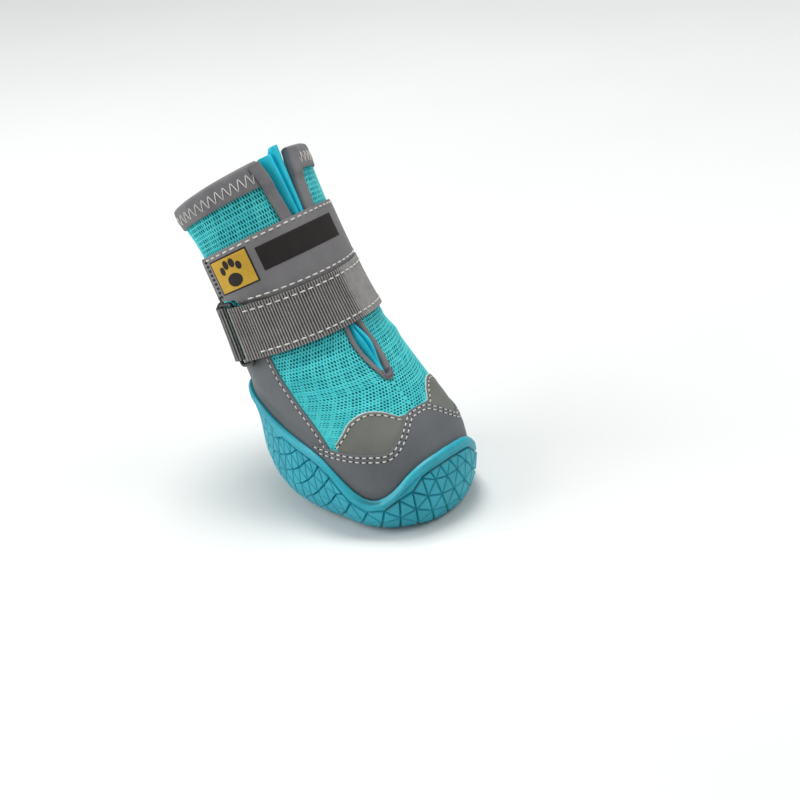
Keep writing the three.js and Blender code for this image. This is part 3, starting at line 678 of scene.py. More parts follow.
# painted shade: the hole floors' dark teal stands for the shade deep in holes through the knit, sunk here only 0.14 mm
KNIT_HOLE_SHADE = Finish("air_mesh_hole_shade", "045058", "03434B", 0.95, fine=0.3, specular=0.1)
LINING = Finish("lining_cloth", "4C5154", "404547", 0.95, fine=0.35, relief=0.05, sheen=0.1, specular=0.15,
                pattern=Pattern.FIBRE)
SATIN = Finish("gusset_satin", "0FC3DA", "0AB0C8", 0.36, clouds=8, fine=0.22, relief=0.015, sheen=0.0,
               pattern=Pattern.FIBRE)
SYNTHETIC = Finish("coated_microfibre", "636669", "5A5D60", 0.55, clouds=16, fine=0.35, relief=0.02, specular=0.35)
BUMP_PANEL = Finish("patch_microfibre", "6C6F69", "62655F", 0.55, clouds=12, fine=0.35, relief=0.02, specular=0.35)
BINDING = Finish("binding_tape", "757476", "68676A", 0.75, clouds=8, fine=0.45, relief=0.04, sheen=0.1,
                 specular=0.25, pattern=Pattern.WEAVE)
REFLECTIVE = Finish("reflective_tape", "7B797B", "706E70", 0.55, clouds=18, fine=0.3, relief=0.012, specular=0.4,
                    pattern=Pattern.TWIST)
# the webbing's full contrast paints dark shade into the valleys between its ribs
WEBBING = Finish("ribbed_webbing", "8A8886", "7C7A78", 0.85, clouds=5, fine=1.0, relief=0.2, sheen=0.1,
                 specular=0.2, contrast=1.0, darkest=0.25, pattern=Pattern.RIB)
FUZZ = Finish("loop_pile", "8E8C88", "757370", 1.0, clouds=3, fine=0.5, relief=0.3, sheen=0.4, specular=0.1,
              pattern=Pattern.FIBRE)
BOARD = Finish("footbed_cloth", "45494D", "3A3E42", 0.95, clouds=7, fine=0.5, relief=0.06, sheen=0.1,
               specular=0.15, pattern=Pattern.FIBRE)
PLASTIC = Finish("ring_plastic", "131314", "0F0F10", 0.35, fine=0.6, relief=0.01)
THREAD = Finish("white_thread", "D6D4CE", "C6C4BE", 0.7, clouds=3, fine=0.25, relief=0.04, sheen=0.1,
                pattern=Pattern.FIBRE)
DARK_THREAD = Finish("dark_thread", "1F2022", "18191B", 0.7, clouds=3, fine=0.25, relief=0.04)
# painted shade: dark dashes between the stitches stand for the shade in the needle holes
NEEDLE_HOLE_SHADE = Finish("needle_hole_shade", "2B2C2E", "232426", 0.9, clouds=3, fine=0.25, specular=0.1)
BINDING_THREAD = Finish("binding_thread", "6E6771", "5C565F", 0.75, clouds=2, fine=0.25, relief=0.05)
CUT_EDGE = Finish("cut_edge", "B9C9C8", "A9B9B8", 0.8, clouds=3, fine=0.3, relief=0.03)
LABEL = Finish("label_black", "242120", "1D1A19", 0.6, clouds=10, fine=0.3, relief=0.015, specular=0.25)
BADGE = Finish("badge_yellow", "C9A23A", "BC9530", 0.6, clouds=10, fine=0.3, relief=0.015, specular=0.25)
BADGE_INK = Finish("badge_ink", "2A2622", "231F1C", 0.6, clouds=10, fine=0.3, relief=0.01, specular=0.25)
FLOOR = Finish("studio_floor", "DEE0DF", "DADCDB", 0.9, clouds=400, fine=40, relief=0.0, specular=0.1, contrast=0.0)


# ---- Modelling helpers ----------------------------------------------------------------------------------------------


def deselect() -> None:
    """Leaves edit mode and selects nothing."""
    if bpy.context.object and bpy.context.object.mode != "OBJECT":
        bpy.ops.object.mode_set(mode="OBJECT")
    bpy.ops.object.select_all(action="DESELECT")


def take(piece: bpy.types.Object) -> bpy.types.Object:
    """Selects one object alone and makes it active.

    Args:
        piece: The object.

    Returns:
        The same object.
    """
    deselect()
    piece.select_set(True)
    bpy.context.view_layer.objects.active = piece
    return piece


def edit_all(piece: bpy.types.Object, *steps: Callable[[], object]) -> None:
    """Runs edit-mode steps on everything in a piece.

    Args:
        piece: The object.
        steps: What to run, in order.
    """
    take(piece)
    bpy.ops.object.mode_set(mode="EDIT")
    bpy.ops.mesh.select_all(action="SELECT")
    for step in steps:
        step()
    bpy.ops.object.mode_set(mode="OBJECT")


def modify(piece: bpy.types.Object, kind: str, **settings: object) -> bpy.types.Object:
    """Adds a modifier with its settings and applies it.

    Args:
        piece: The object.
        kind: The modifier's type.
        settings: Its settings, by name.

    Returns:
        The same object.
    """
    take(piece)
    modifier = piece.modifiers.new(kind.lower(), kind)
    for name, value in settings.items():
        setattr(modifier, name, value)
    bpy.ops.object.modifier_apply(modifier=modifier.name)
    return piece


def read_items(items: bpy.types.bpy_prop_collection, key: str, width: int = 1, kind: type = float) -> Array:
    """Reads a property of every vertex, edge, face or corner of a mesh.

    Args:
        items: The mesh's own collection of them.
        key: The property's name.
        width: How many numbers the property has.
        kind: The type of those numbers.

    Returns:
        One row for each item, or one number for each if the width is 1.
    """
    flat = np.empty(len(items) * width, kind)
    items.foreach_get(key, flat)
    return flat.reshape(-1, width) if width > 1 else flat


def coordinates(piece: bpy.types.Object) -> Array:
    """A mesh's points as rows, in metres."""
    return read_items(piece.data.vertices, "co", 3)


def mark(piece: bpy.types.Object, name: str, values: Array, kind: str = "FLOAT", domain: str = "POINT") -> None:
    """Stores an attribute on a mesh."""
    piece.data.attributes.new(name, kind, domain).data.foreach_set("value", values)


def flat_grid(name: str, across: int, up: int) -> tuple[bpy.types.Object, Array]:
    """A flat grid primitive and its points as shares across and up it.

    Args:
        name: The new object's name.
        across: Faces across it.
        up: Faces up it.

    Returns:
        The sheet, and two shares a point.
    """
    deselect()
    bpy.ops.mesh.primitive_grid_add(x_subdivisions=across, y_subdivisions=up, size=1.0)
    sheet = bpy.context.object
    sheet.name = sheet.data.name = name
    return sheet, coordinates(sheet)[:, :2] + 0.5


def place_points(piece: bpy.types.Object, points: Array) -> None:
    """Moves a mesh's points to new places given in millimetres."""
    piece.data.vertices.foreach_set("co", (points * MM).ravel())
    piece.data.update()


def grid(name: str, across: int, up: int, place: Place, flip: bool = True, long: float = 0.0) -> bpy.types.Object:
    """A grid primitive wrapped by a function of two shares.

    Args:
        name: The new object's name.
        across: Faces along the first share.
        up: Faces along the second share.
        place: Turns two arrays of shares into points in millimetres.
        flip: Whether the sheet has to be turned over to face out.
        long: The sheet's length in millimetres, measured if not given.

    Returns:
        The sheet, with its UV map in centimetres along and up the sheet.
    """
    sheet, shares = flat_grid(name, across, up)
    place_points(sheet, place(shares[:, 0], shares[:, 1]))
    run, middle = np.linspace(0, 1, 60), np.full(60, 0.5)
    long = long or run_length(place(run, middle))[-1]
    tall = run_length(place(middle, run))[-1]
    corners = sheet.data.uv_layers[0].data
    corners.foreach_set("uv", (read_items(corners, "uv", 2) * (long / UV_MM, tall / UV_MM)).ravel())
    if flip:
        edit_all(sheet, bpy.ops.mesh.flip_normals)
    return sheet


def weld(piece: bpy.types.Object, distance: float = 0.005) -> bpy.types.Object:
    """Merges points that lie together, with a distance in millimetres."""
    edit_all(piece, lambda: bpy.ops.mesh.remove_doubles(threshold=distance * MM))
    return piece


def thicken(piece: bpy.types.Object, thick: float, even: bool = True) -> bpy.types.Object:
    """Gives a sheet its thickness, inwards from the face it has, and even round bends unless they are too tight."""
    return modify(piece, "SOLIDIFY", thickness=thick * MM, offset=-1.0, use_even_offset=even)


def round_edges(piece: bpy.types.Object, width: float) -> bpy.types.Object:
    """Bevels the sharp edges."""
    return modify(piece, "BEVEL", width=width * MM, segments=2, limit_method="ANGLE",
                  angle_limit=math.radians(50), use_clamp_overlap=True)


def smooth(piece: bpy.types.Object, angle: float = 40.0) -> bpy.types.Object:
    """Shades a piece smooth except across edges sharper than an angle.

    Args:
        piece: The object.
        angle: Degrees past which an edge stays sharp.

    Returns:
        The same object.
    """
    take(piece)
    bpy.ops.object.shade_smooth_by_angle(angle=math.radians(angle))
    return piece


def dress(piece: bpy.types.Object, finish: Finish, slot: str, *replaced: str) -> bpy.types.Object:
    """Gives a piece its finish and its place on the boot, and logs it.

    Args:
        piece: The finished object.
        finish: What it is made of; a piece that has materials of its own keeps them.
        slot: Not used.
        replaced: CAD nodes that the piece stands for.

    Returns:
        The same object.
    """
    if not piece.data.materials:
        piece.data.materials.append(finish.material())
    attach(piece, ROOT)
    if replaced:
        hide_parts(*replaced)
    LOG.info("%s: %d triangles", piece.name, (read_items(piece.data.polygons, "loop_total", 1, int) - 2).sum())
    return piece


def mesh_object(name: str, points: Array, faces: Sequence[Sequence[int]]) -> bpy.types.Object:
    """A joined mesh from arrays, for small shapes repeated hundreds of times. Points are in millimetres.

    Args:
        name: The new object's name.
        points: One point a row.
        faces: The numbers of each face's points.

    Returns:
        The new object.
    """
    mesh = bpy.data.meshes.new(name)
    mesh.from_pydata((points * MM).tolist(), [], [list(map(int, face)) for face in faces])
    made = bpy.data.objects.new(name, mesh)
    bpy.context.scene.collection.objects.link(made)
    return made


Curve = Callable[[Array], Array]
Height = Callable[[Array, Array], Array]
Run = tuple[Array, Array, Array | float]


@dataclass(frozen=True)
class Panel:
    """A thin overlay wrapped on the last, between two turns and two level curves.

    face is how far its outer face stands off the upper, and thick how thick it is.
    """

    name: str
    start: float
    end: float
    low: Curve
    high: Curve
    face: Height
    thick: float
    across: int
    up: int
    edge: float = 0.2

    def place(self, u: Array, v: Array) -> Array:
        """Points of the panel's outer face.

        Args:
            u: Shares along the sheet.
            v: Shares up the sheet.

        Returns:
            One point a row, in millimetres.
        """
        turn = self.start + (self.end - self.start) * u
        low, high = self.low(turn), self.high(turn)
        level = low + (high - low) * v
        return LAST.skin(turn, level, self.face(turn, level))

    def make(self) -> bpy.types.Object:
        """The panel as a closed, edge-rounded solid."""
        sheet = grid(self.name, self.across, self.up, self.place)
        return smooth(round_edges(thicken(sheet, self.thick), self.edge))


# ---- Thread ---------------------------------------------------------------------------------------------------------


@dataclass(frozen=True)
class Thread:
    """Sewing thread that lies on the surface and dips into it at the end of each stitch."""

    radius: float = 0.24
    dash: float = 2.3
    space: float = 0.9
    proud: float = 0.14
    sides: int = 6
    rings: int = 5
    phase: float = 0.0
    spread: float = 1.25
    taper: float = 0.4
    dip: float = 1.1

    def holes(self) -> "Thread":
        """Dark dashes between the stitches: painted shade for the needle holes."""
        return Thread(radius=0.2, dash=self.space * 0.8, space=self.dash + self.space * 0.2, proud=0.03, phase=0.5)

    def stitch(self) -> tuple[Array, list[list[int]]]:
        """One stitch along x from -1 to 1: a cylinder cut into rings, arched and drawn in at its ends.

        Returns:
            Its points, one a row, and its faces.
        """
        deselect()
        bpy.ops.mesh.primitive_cylinder_add(vertices=self.sides, radius=self.radius, depth=2, end_fill_type="NGON")
        rod = bpy.context.object
        rod.data.transform(Matrix.Rotation(math.pi / 2, 4, "Y"))
        for cut in np.linspace(-1, 1, self.rings)[1:-1]:
            edit_all(rod, lambda: bpy.ops.mesh.bisect(plane_co=(cut, 0, 0), plane_no=(1, 0, 0)))
        points = coordinates(rod)
        end = np.abs(points[:, 0]) ** 3
        narrowed = 1 - self.taper * end
        points[:, 1] *= self.spread * narrowed
        points[:, 2] = points[:, 2] * narrowed + self.proud - (self.proud + self.dip * self.radius) * end
        faces = [list(polygon.vertices) for polygon in rod.data.polygons]
        bpy.data.objects.remove(rod)
        return points, faces

    def lay(self, name: str, turn: Array, level: Array, lift: Array, finish: Finish, slot: str) -> bpy.types.Object:
        """Lays a copy of the stitch along each run of points and joins the copies.

        Args:
            name: The piece's name.
            turn: Turns, one row a stitch.
            level: Levels, as turn.
            lift: Millimetres off the upper's face, as turn.
            finish: The thread's finish.
            slot: The record's material slot.

        Returns:
            One piece that holds every stitch.
        """
        form, faces = self.stitch()
        count, rings = turn.shape
        centres = LAST.skin(turn.ravel(), level.ravel(), lift.ravel()).reshape(count, rings, 3)
        normals = LAST.normal(turn.ravel(), level.ravel()).reshape(count, rings, 3)
        side = np.cross(normals, unit(np.gradient(centres, axis=1)))
        at = np.rint((form[:, 0] + 1) / 2 * (rings - 1)).astype(int)
        points = centres[:, at] + side[:, at] * form[None, :, 1:2] + normals[:, at] * form[None, :, 2:3]
        copies = [[index + copy * len(form) for index in face] for copy in range(count) for face in faces]
        return dress(smooth(mesh_object(name, points.reshape(-1, 3), copies), 60), finish, slot)

    def sew(self, name: str, runs: Sequence[Run], finish: Finish, slot: str = "webbing") -> bpy.types.Object:
        """Dashed stitching along lines, each given as turns, levels and lifts.

        Args:
            name: The piece's name.
            runs: The lines to sew along.
            finish: The thread's finish.
            slot: The record's material slot.

        Returns:
            One piece that holds every stitch.
        """
        rows = []
        for turn, level, lift in runs:
            lift = np.broadcast_to(np.asarray(lift, float), turn.shape)
            length = run_length(LAST.skin(turn, level, lift))
            count = max(1, int(length[-1] // (self.dash + self.space)))
            share = self.dash / (self.dash + self.space)
            at = np.arange(count)[:, None] + (1 - share) / 2 + np.linspace(0, share, self.rings) + self.phase
            at = at * length[-1] / count
            rows.append([np.interp(at, length, values) for values in (turn, level, lift)])
        return self.lay(name, *(np.concatenate([row[i] for row in rows]) for i in range(3)), finish, slot)


def level_curve(level: float) -> Curve:
    """A curve that stays at one level."""
    return lambda turn: np.full_like(turn, level)


SEAM = Thread()
FINE_SEAM = Thread(radius=0.2, dash=1.7, space=0.8, proud=0.12)
ZIGZAG = Thread(radius=0.15, proud=0.14)
TACK = Thread(radius=0.42, proud=0.35)
END_SEAM = Thread(radius=0.26, dash=1.3, space=0.3)


# ---- The sole -------------------------------------------------------------------------------------------------------


@dataclass
class CupSole:
    """The moulded cup sole and the footbed in it."""

    groove_half: float = 0.32
    top_share: float = 0.4
    sharp: float = math.radians(24)
    full_shade: float = 0.11
    footbed_edge: float = 0.5
    footbed_sink: float = 0.5
    footbed_inset: float = 1.4
    footbed_clear: float = 0.3

    def build(self) -> None:
        """Makes the rubber cup and the footbed."""
        self.cup()
        self.footbed()

    def cup(self) -> bpy.types.Object:
        """The cup: the frame's own lugs and walls, with tops rounded and grooves opened as a mould leaves them.

        Returns:
            The cup.
        """
        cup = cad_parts["outsole"].copy()
        cup.data = cup.data.copy()
        cup.data.materials.clear()
        for key in list(cup.keys()):
            del cup[key]
        cup.parent = None
        cup.name = cup.data.name = "rubber_cup"
        bpy.context.scene.collection.objects.link(cup)
        weld(cup)
        mark(cup, "bevel_weight_edge", self.edge_weights(cup), domain="EDGE")
        modify(cup, "BEVEL", width=self.groove_half * MM, segments=2, limit_method="WEIGHT", use_clamp_overlap=True)
        self.mark_grooves(cup)
        return dress(smooth(cup, 38), RUBBER, "rubber", "outsole")

    def edge_weights(self, cup: bpy.types.Object) -> Array:
        """How wide each edge is bevelled: groove bottoms fully, lug tops less, smooth rubber not at all.

        Args:
            cup: The welded cup.

        Returns:
            One weight an edge.
        """
        mesh = cup.data
        sides: dict[tuple[int, int], list[int]] = {}
        for polygon in mesh.polygons:
            for key in polygon.edge_keys:
                sides.setdefault(key, []).append(polygon.index)
        weights = np.zeros(len(mesh.edges))
        for edge in mesh.edges:
            first, second = (mesh.polygons[index] for index in sides[tuple(sorted(edge.vertices))])
            if first.normal.dot(second.normal) > math.cos(self.sharp):
                continue
            hollow = (second.center - first.center).dot(first.normal) > 0
            weights[edge.index] = 1.0 if hollow else self.top_share
        return weights

    def mark_grooves(self, cup: bpy.types.Object) -> None:
        """Marks how hollow the rubber is at each point, for the shade in the grooves.

        Args:
            cup: The bevelled cup.
        """
        points, normals = coordinates(cup), read_items(cup.data.vertices, "normal", 3)
        a, b = read_items(cup.data.edges, "vertices", 2, int).T
        reach = points[b] - points[a]
        reach /= np.maximum(np.linalg.norm(reach, axis=1), 1e-9)[:, None]
        total, count = np.zeros(len(points)), np.zeros(len(points))
        for here, way in ((a, reach), (b, -reach)):
            np.add.at(total, here, (way * normals[here]).sum(1))
            np.add.at(count, here, 1)
        mark(cup, GROOVE, smoothstep(total / np.maximum(count, 1), 0.0, self.full_shade))

    def footbed(self) -> bpy.types.Object:
        """The footbed: a cloth-covered board with a soft edge.

        Returns:
            The footbed.
        """
        low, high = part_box("insole")

        def place(u: Array, v: Array) -> Array:
            """The upper face of the board, sunk a little at its rim.

            Args:
                u: Shares along the sheet.
                v: Shares up the sheet.

            Returns:
                One point a row, in millimetres.
            """
            turn = 360 * u
            feather = np.zeros_like(turn)
            rim = LAST.plain(turn, feather) + LAST.normal(turn, feather) * (FIT.cup - self.footbed_inset)
            middle = np.array([0.0, rim[:, 1].mean(), 0.0])
            points = middle + (rim - middle) * v[:, None]
            points[:, 2] = high.z / MM - self.footbed_sink * v**6
            return points

        board = weld(grid("footbed", 72, 14, place))
        edit_all(board, lambda: bpy.ops.mesh.normals_make_consistent(inside=False))
        if board.data.polygons[0].normal.z < 0:
            edit_all(board, bpy.ops.mesh.flip_normals)
        thicken(board, (high.z - low.z) / MM - self.footbed_clear)
        round_edges(board, self.footbed_edge)
        return dress(smooth(board), BOARD, "board", "insole")


# ---- The knit upper -------------------------------------------------------------------------------------------------


@dataclass
class KnitUpper:
    """The hollow shell of open knit, with a shallow hole in each visible cell whose floor is painted shade."""

    columns: int = 136
    rows: int = 108
    low: float = 0.25
    yarn: float = 0.27
    group_yarn: float = 0.37
    depth: float = 0.14
    group: int = 4
    off_overlay: float = 0.02
    off_strap: float = 0.08
    past_ring_bar: float = 5.0
    before_guard: float = 0.5
    over_guard: float = 0.2
    under_strap: float = 0.06
    under_binding: float = 0.04

    def build(self) -> bpy.types.Object:
        """Makes the shell, its wall and its holes.

        Returns:
            The shell.
        """
        shell = self.sheet()
        self.mark_groups(shell)
        weld(shell, 0.02)
        for finish in (KNIT, KNIT_HOLE_SHADE, LINING):
            shell.data.materials.append(finish.material())
        modify(shell, "SOLIDIFY", thickness=FIT.wall * MM, offset=-1.0, use_even_offset=True, material_offset=2)
        self.pierce(shell)
        return dress(smooth(shell, 75), KNIT, "knit", "upper")

    def even(self, level: Array, share: Array) -> Array:
        """Turns at even shares of the distance round a level, from one edge of the slit round to the other.

        Args:
            level: Levels up the boot.
            share: Shares of the distance round.

        Returns:
            Degrees round the boot.
        """
        turns = np.empty_like(share)
        for value in np.unique(np.round(level, 6)):
            here = np.isclose(level, value, atol=1e-5)
            one = np.array([value])
            half = FIT.slit(one)
            edge = float(TOE - LAST.turn_at_x(one, half)[0])
            fine = np.linspace(TOE + edge, TOE + 360 - edge, 400)
            length = run_length(LAST.plain(fine, np.full_like(fine, value)))
            turns[here] = np.interp(share[here] * length[-1], length, fine)
        return turns

    def sheet(self) -> bpy.types.Object:
        """Staggered six-sided cells, open along the front: a grid with every second upright edge dissolved.

        Returns:
            The sheet.
        """
        steps = 2 * self.columns
        sheet, shares = flat_grid("knit_upper", steps, self.rows)
        ring, line = np.rint(shares * (steps, self.rows)).astype(int).T
        ends = read_items(sheet.data.edges, "vertices", 2, int)
        here, row = ring[ends[:, 0]], line[ends].min(axis=1)
        upright = (here == ring[ends[:, 1]]) & (here > 0) & (here < steps) & ((here + row) % 2 == 1)
        level = self.low + (COLLAR - self.low) * line / self.rows
        inner = (line > 0) & (line < self.rows) & (ring > 0) & (ring < steps)
        sway = np.where((ring + line) % 2 == 0, 1, -1) * inner * (COLLAR - self.low) / self.rows / 6
        place_points(sheet, LAST.skin(self.even(level, ring / steps), level + sway))
        edit_all(sheet, lambda: bpy.ops.mesh.select_mode(type="EDGE"), bpy.ops.mesh.flip_normals,
                 lambda: bpy.ops.mesh.select_all(action="DESELECT"))
        sheet.data.edges.foreach_set("select", upright)
        bpy.ops.object.mode_set(mode="EDIT")
        bpy.ops.mesh.dissolve_edges(use_verts=False)
        bpy.ops.object.mode_set(mode="OBJECT")
        return sheet

    def mark_groups(self, sheet: bpy.types.Object) -> None:
        """Marks the cells between the groups of holes, by their place in the slanted lattice.

        Args:
            sheet: The sheet of cells.
        """
        uv = read_items(sheet.data.uv_layers[0].data, "uv", 2)
        starts = read_items(sheet.data.polygons, "loop_start", 1, int)
        middles = np.add.reduceat(uv, starts) / np.diff(np.append(starts, len(uv)))[:, None]
        row = np.floor(middles[:, 1] * self.rows).astype(int)
        slant = np.rint(middles[:, 0] * self.columns + row / 2).astype(int)
        mark(sheet, "between", (row % self.group == 0) | (slant % self.group == 0), "BOOLEAN", "FACE")

    def pierce(self, shell: bpy.types.Object) -> None:
        """Sinks a small hole into each shown cell, smaller between the groups of holes, with a floor of painted shade.

        Args:
            shell: The shell with its wall.
        """
        shows = self.visible_cells(shell)
        between = read_items(shell.data.attributes["between"].data, "value", 1, bool)
        # the hole floors take the dark hole material: painted shade
        shell.active_material_index = 1
        for cells, yarn in ((shows & between, self.group_yarn), (shows & ~between, self.yarn)):
            edit_all(shell, lambda: bpy.ops.mesh.select_mode(type="FACE"),
                     lambda: bpy.ops.mesh.select_all(action="DESELECT"))
            chosen = np.zeros(len(shell.data.polygons), bool)
            chosen[: len(cells)] = cells
            shell.data.polygons.foreach_set("select", chosen)
            bpy.ops.object.mode_set(mode="EDIT")
            bpy.ops.mesh.inset(thickness=yarn * MM, depth=-self.depth * MM, use_individual=True)
            bpy.ops.object.material_slot_assign()
            bpy.ops.object.mode_set(mode="OBJECT")

    def visible_cells(self, shell: bpy.types.Object) -> Array:
        """Which faces are outer cells that no overlay or strap covers.

        Args:
            shell: The shell with its wall.

        Returns:
            True for each face that shows.
        """
        faces = shell.data.polygons
        sides, slots = (read_items(faces, key, 1, int) for key in ("loop_total", "material_index"))
        outer = np.flatnonzero((sides == 6) & (slots == 0))
        turn, level = self.where(read_items(faces, "center", 3)[outer] / MM)
        toe, over, off = from_toe(turn), self.off_overlay, self.off_strap
        over_cap = level > FIT.cap(turn) + over
        over_patch = (toe < FIT.patch_from) | (toe > FIT.patch_to) | (level > FIT.patch(turn) + over)
        before_guard = (toe < FIT.mudguard_front - self.before_guard) | (level > FIT.webbing_bottom + self.over_guard)
        off_webbing = (level < FIT.webbing_bottom + off) | (level > FIT.webbing_top(turn) - off)
        in_ring = (turn > WebbingStrap.near + self.past_ring_bar) & (turn < WebbingStrap.far - self.past_ring_bar)
        off_strap = (level < FIT.reflective_bottom(turn) + off) | (level > FIT.reflective_top - self.under_strap)
        below_binding = level < FIT.binding_low + self.under_binding
        shows = np.zeros(len(faces), bool)
        shows[outer] = over_cap & over_patch & before_guard & (off_webbing | in_ring) & off_strap & below_binding
        LOG.info("knit_upper: %d cells pierced", shows.sum())
        return shows

    def where(self, centres: Array) -> tuple[Array, Array]:
        """The turn and level nearest to each point, found on a table of the last.

        Args:
            centres: One point a row, in millimetres.

        Returns:
            The turns and the levels.
        """
        turns, levels = np.meshgrid(np.arange(0, 360, 1.5), np.arange(1.0, COLLAR + 0.01, 0.04))
        table = LAST.skin(turns.ravel(), levels.ravel())
        tree = KDTree(len(table))
        for index, point in enumerate(table):
            tree.insert(point, index)
        tree.balance()
        found = np.array([tree.find(point)[1] for point in centres])
        return turns.ravel()[found], levels.ravel()[found]


# ---- Toe cap, patches and mudguard ----------------------------------------------------------------------------------


@dataclass
class Overlays:
    """The grey microfibre panels round the foot and their seams."""

    cap_face: float = 1.05
    guard_face: float = 0.6
    sheet: float = 0.6
    under_cap: float = 3.0
    under_webbing: float = 1.5
    cap_insets: tuple[float, float] = (1.1, 2.7)
    bump_inset: float = 1.3
    guard_inset: float = 1.5
    edge_inset: float = 0.05
    grip: float = 0.5
    off_rim: float = 0.1
    off_cap: float = 0.5
    cut_edge: Thread = Thread(radius=0.26, dash=400.0, space=0.0, proud=-0.18, rings=160)

    def build(self) -> None:
        """Makes the cap, the two patches, the mudguard and their stitching."""
        cap_at, guard_at = self.height(self.cap_face), self.height(self.guard_face)
        front, back = FIT.cap_end, FIT.mudguard_front
        cap = Panel("toe_cap_panel", TOE - front, TOE + front, self.low, FIT.cap, cap_at, self.sheet, 150, 14)
        dress(cap.make(), SYNTHETIC, "synthetic", "toe_cap")
        for side, name, node in ((1, "toe_bump_left", "toe_patch_left"), (-1, "toe_bump_right", "toe_patch_right")):
            start, end = sorted((TOE + side * FIT.patch_from, TOE + side * FIT.patch_to))
            bump = Panel(name, start, end, self.tucked, FIT.patch, guard_at, self.sheet, 70, 14)
            dress(bump.make(), BUMP_PANEL, "synthetic", node)
        guard = Panel("mudguard_panel", TOE + back, TOE + 360 - back, self.guard_low, self.guard_high, guard_at,
                      self.sheet, 150, 18)
        dress(guard.make(), SYNTHETIC, "synthetic", "mudguard")
        self.seams(cap_at, guard_at)

    def low(self, turn: Array) -> Array:
        """The lower edge, tucked into the cup."""
        return np.maximum(FIT.rim(turn) - FIT.tuck, 0.12)

    def tucked(self, turn: Array) -> Array:
        """The lower edge of what lies under the cap."""
        return LAST.climb(turn, FIT.cap(turn), -self.under_cap)

    def guard_low(self, turn: Array) -> Array:
        """The mudguard's lower edge, under the cap in front and in the cup behind."""
        share = smoothstep(from_toe(turn), FIT.cap_end - 2, FIT.cap_end + 4)
        return self.tucked(turn) * (1 - share) + self.low(turn) * share

    def guard_high(self, turn: Array) -> Array:
        """The mudguard's upper edge, just under the webbing."""
        return LAST.climb(turn, FIT.webbing_bottom, self.under_webbing)

    def height(self, face: float) -> Height:
        """How far an overlay's outer face stands off: a little further where the rubber grips it.

        Args:
            face: How far the outer face stands off the upper.

        Returns:
            The height as a function of turn and level.
        """

        def at(turn: Array, level: Array) -> Array:
            """The height at each place."""
            above = level - FIT.rim(turn)
            return face + (FIT.cup - 0.05 - face) * (1 - smoothstep(above, 0.0, self.grip)) * (above < self.grip)

        return at

    def seams(self, cap_at: Height, guard_at: Height) -> None:
        """The dashed rows along the panels' edges.

        Args:
            cap_at: How far the cap's face stands off.
            guard_at: How far the face of the mudguard and of the bumps stands off.
        """
        turn = np.linspace(TOE - FIT.cap_end + 2, TOE + FIT.cap_end - 2, 400)
        lines = [LAST.beside(turn, FIT.cap(turn), inset) for inset in self.cap_insets]
        self.sew_row("toe_cap", [self.kept(line, cap_at, line[1] > FIT.rim(line[0]) + self.off_rim)
                                 for line in lines])
        rows, edges = [], []
        for side in (1, -1):
            turn = np.sort(TOE + side * np.linspace(FIT.patch_from, FIT.patch_to, 200))
            line = LAST.beside(turn, FIT.patch(turn), self.bump_inset)
            rows.append(self.kept(line, guard_at, line[1] > LAST.climb(line[0], FIT.cap(line[0]), self.off_cap)))
            line = LAST.beside(turn, FIT.patch(turn), self.edge_inset)
            edges.append((*line, guard_at(*line)))
        self.sew_row("toe_bump", rows)
        self.cut_edge.sew("toe_bump_cut_edges", edges, CUT_EDGE, "synthetic")
        rows = []
        for turn, side in ((TOE + FIT.mudguard_front, 1), (TOE + 360 - FIT.mudguard_front, -1)):
            level = np.linspace(float(FIT.cap(np.array([turn]))[0]), FIT.webbing_bottom, 120)
            line = LAST.beside(np.full_like(level, turn), level, side * self.guard_inset)
            rows.append((*line, guard_at(*line)))
        self.sew_row("mudguard", rows)

    @staticmethod
    def kept(line: tuple[Array, Array], face: Height, clear: Array) -> Run:
        """The part of a line that is clear of what covers it, with its lift."""
        return (line[0][clear], line[1][clear], face(*line)[clear])

    @staticmethod
    def sew_row(name: str, rows: Sequence[Run]) -> None:
        """White stitches and, between them, dark dashes of painted shade for the needle holes."""
        FINE_SEAM.sew(f"{name}_stitches", rows, THREAD)
        FINE_SEAM.holes().sew(f"{name}_needle_holes", rows, NEEDLE_HOLE_SHADE)


# ---- Throat and collar ----------------------------------------------------------------------------------------------


@dataclass(frozen=True)
class Pleat:
    """A narrow trough along the gusset; its middle and width are shares of the opening's half width."""

    middle: float
    width: float
    depth: float

    def drop(self, share: Array) -> Array:
        """How far the satin goes in at each share."""
        return self.depth * bell(share, self.middle, self.width)


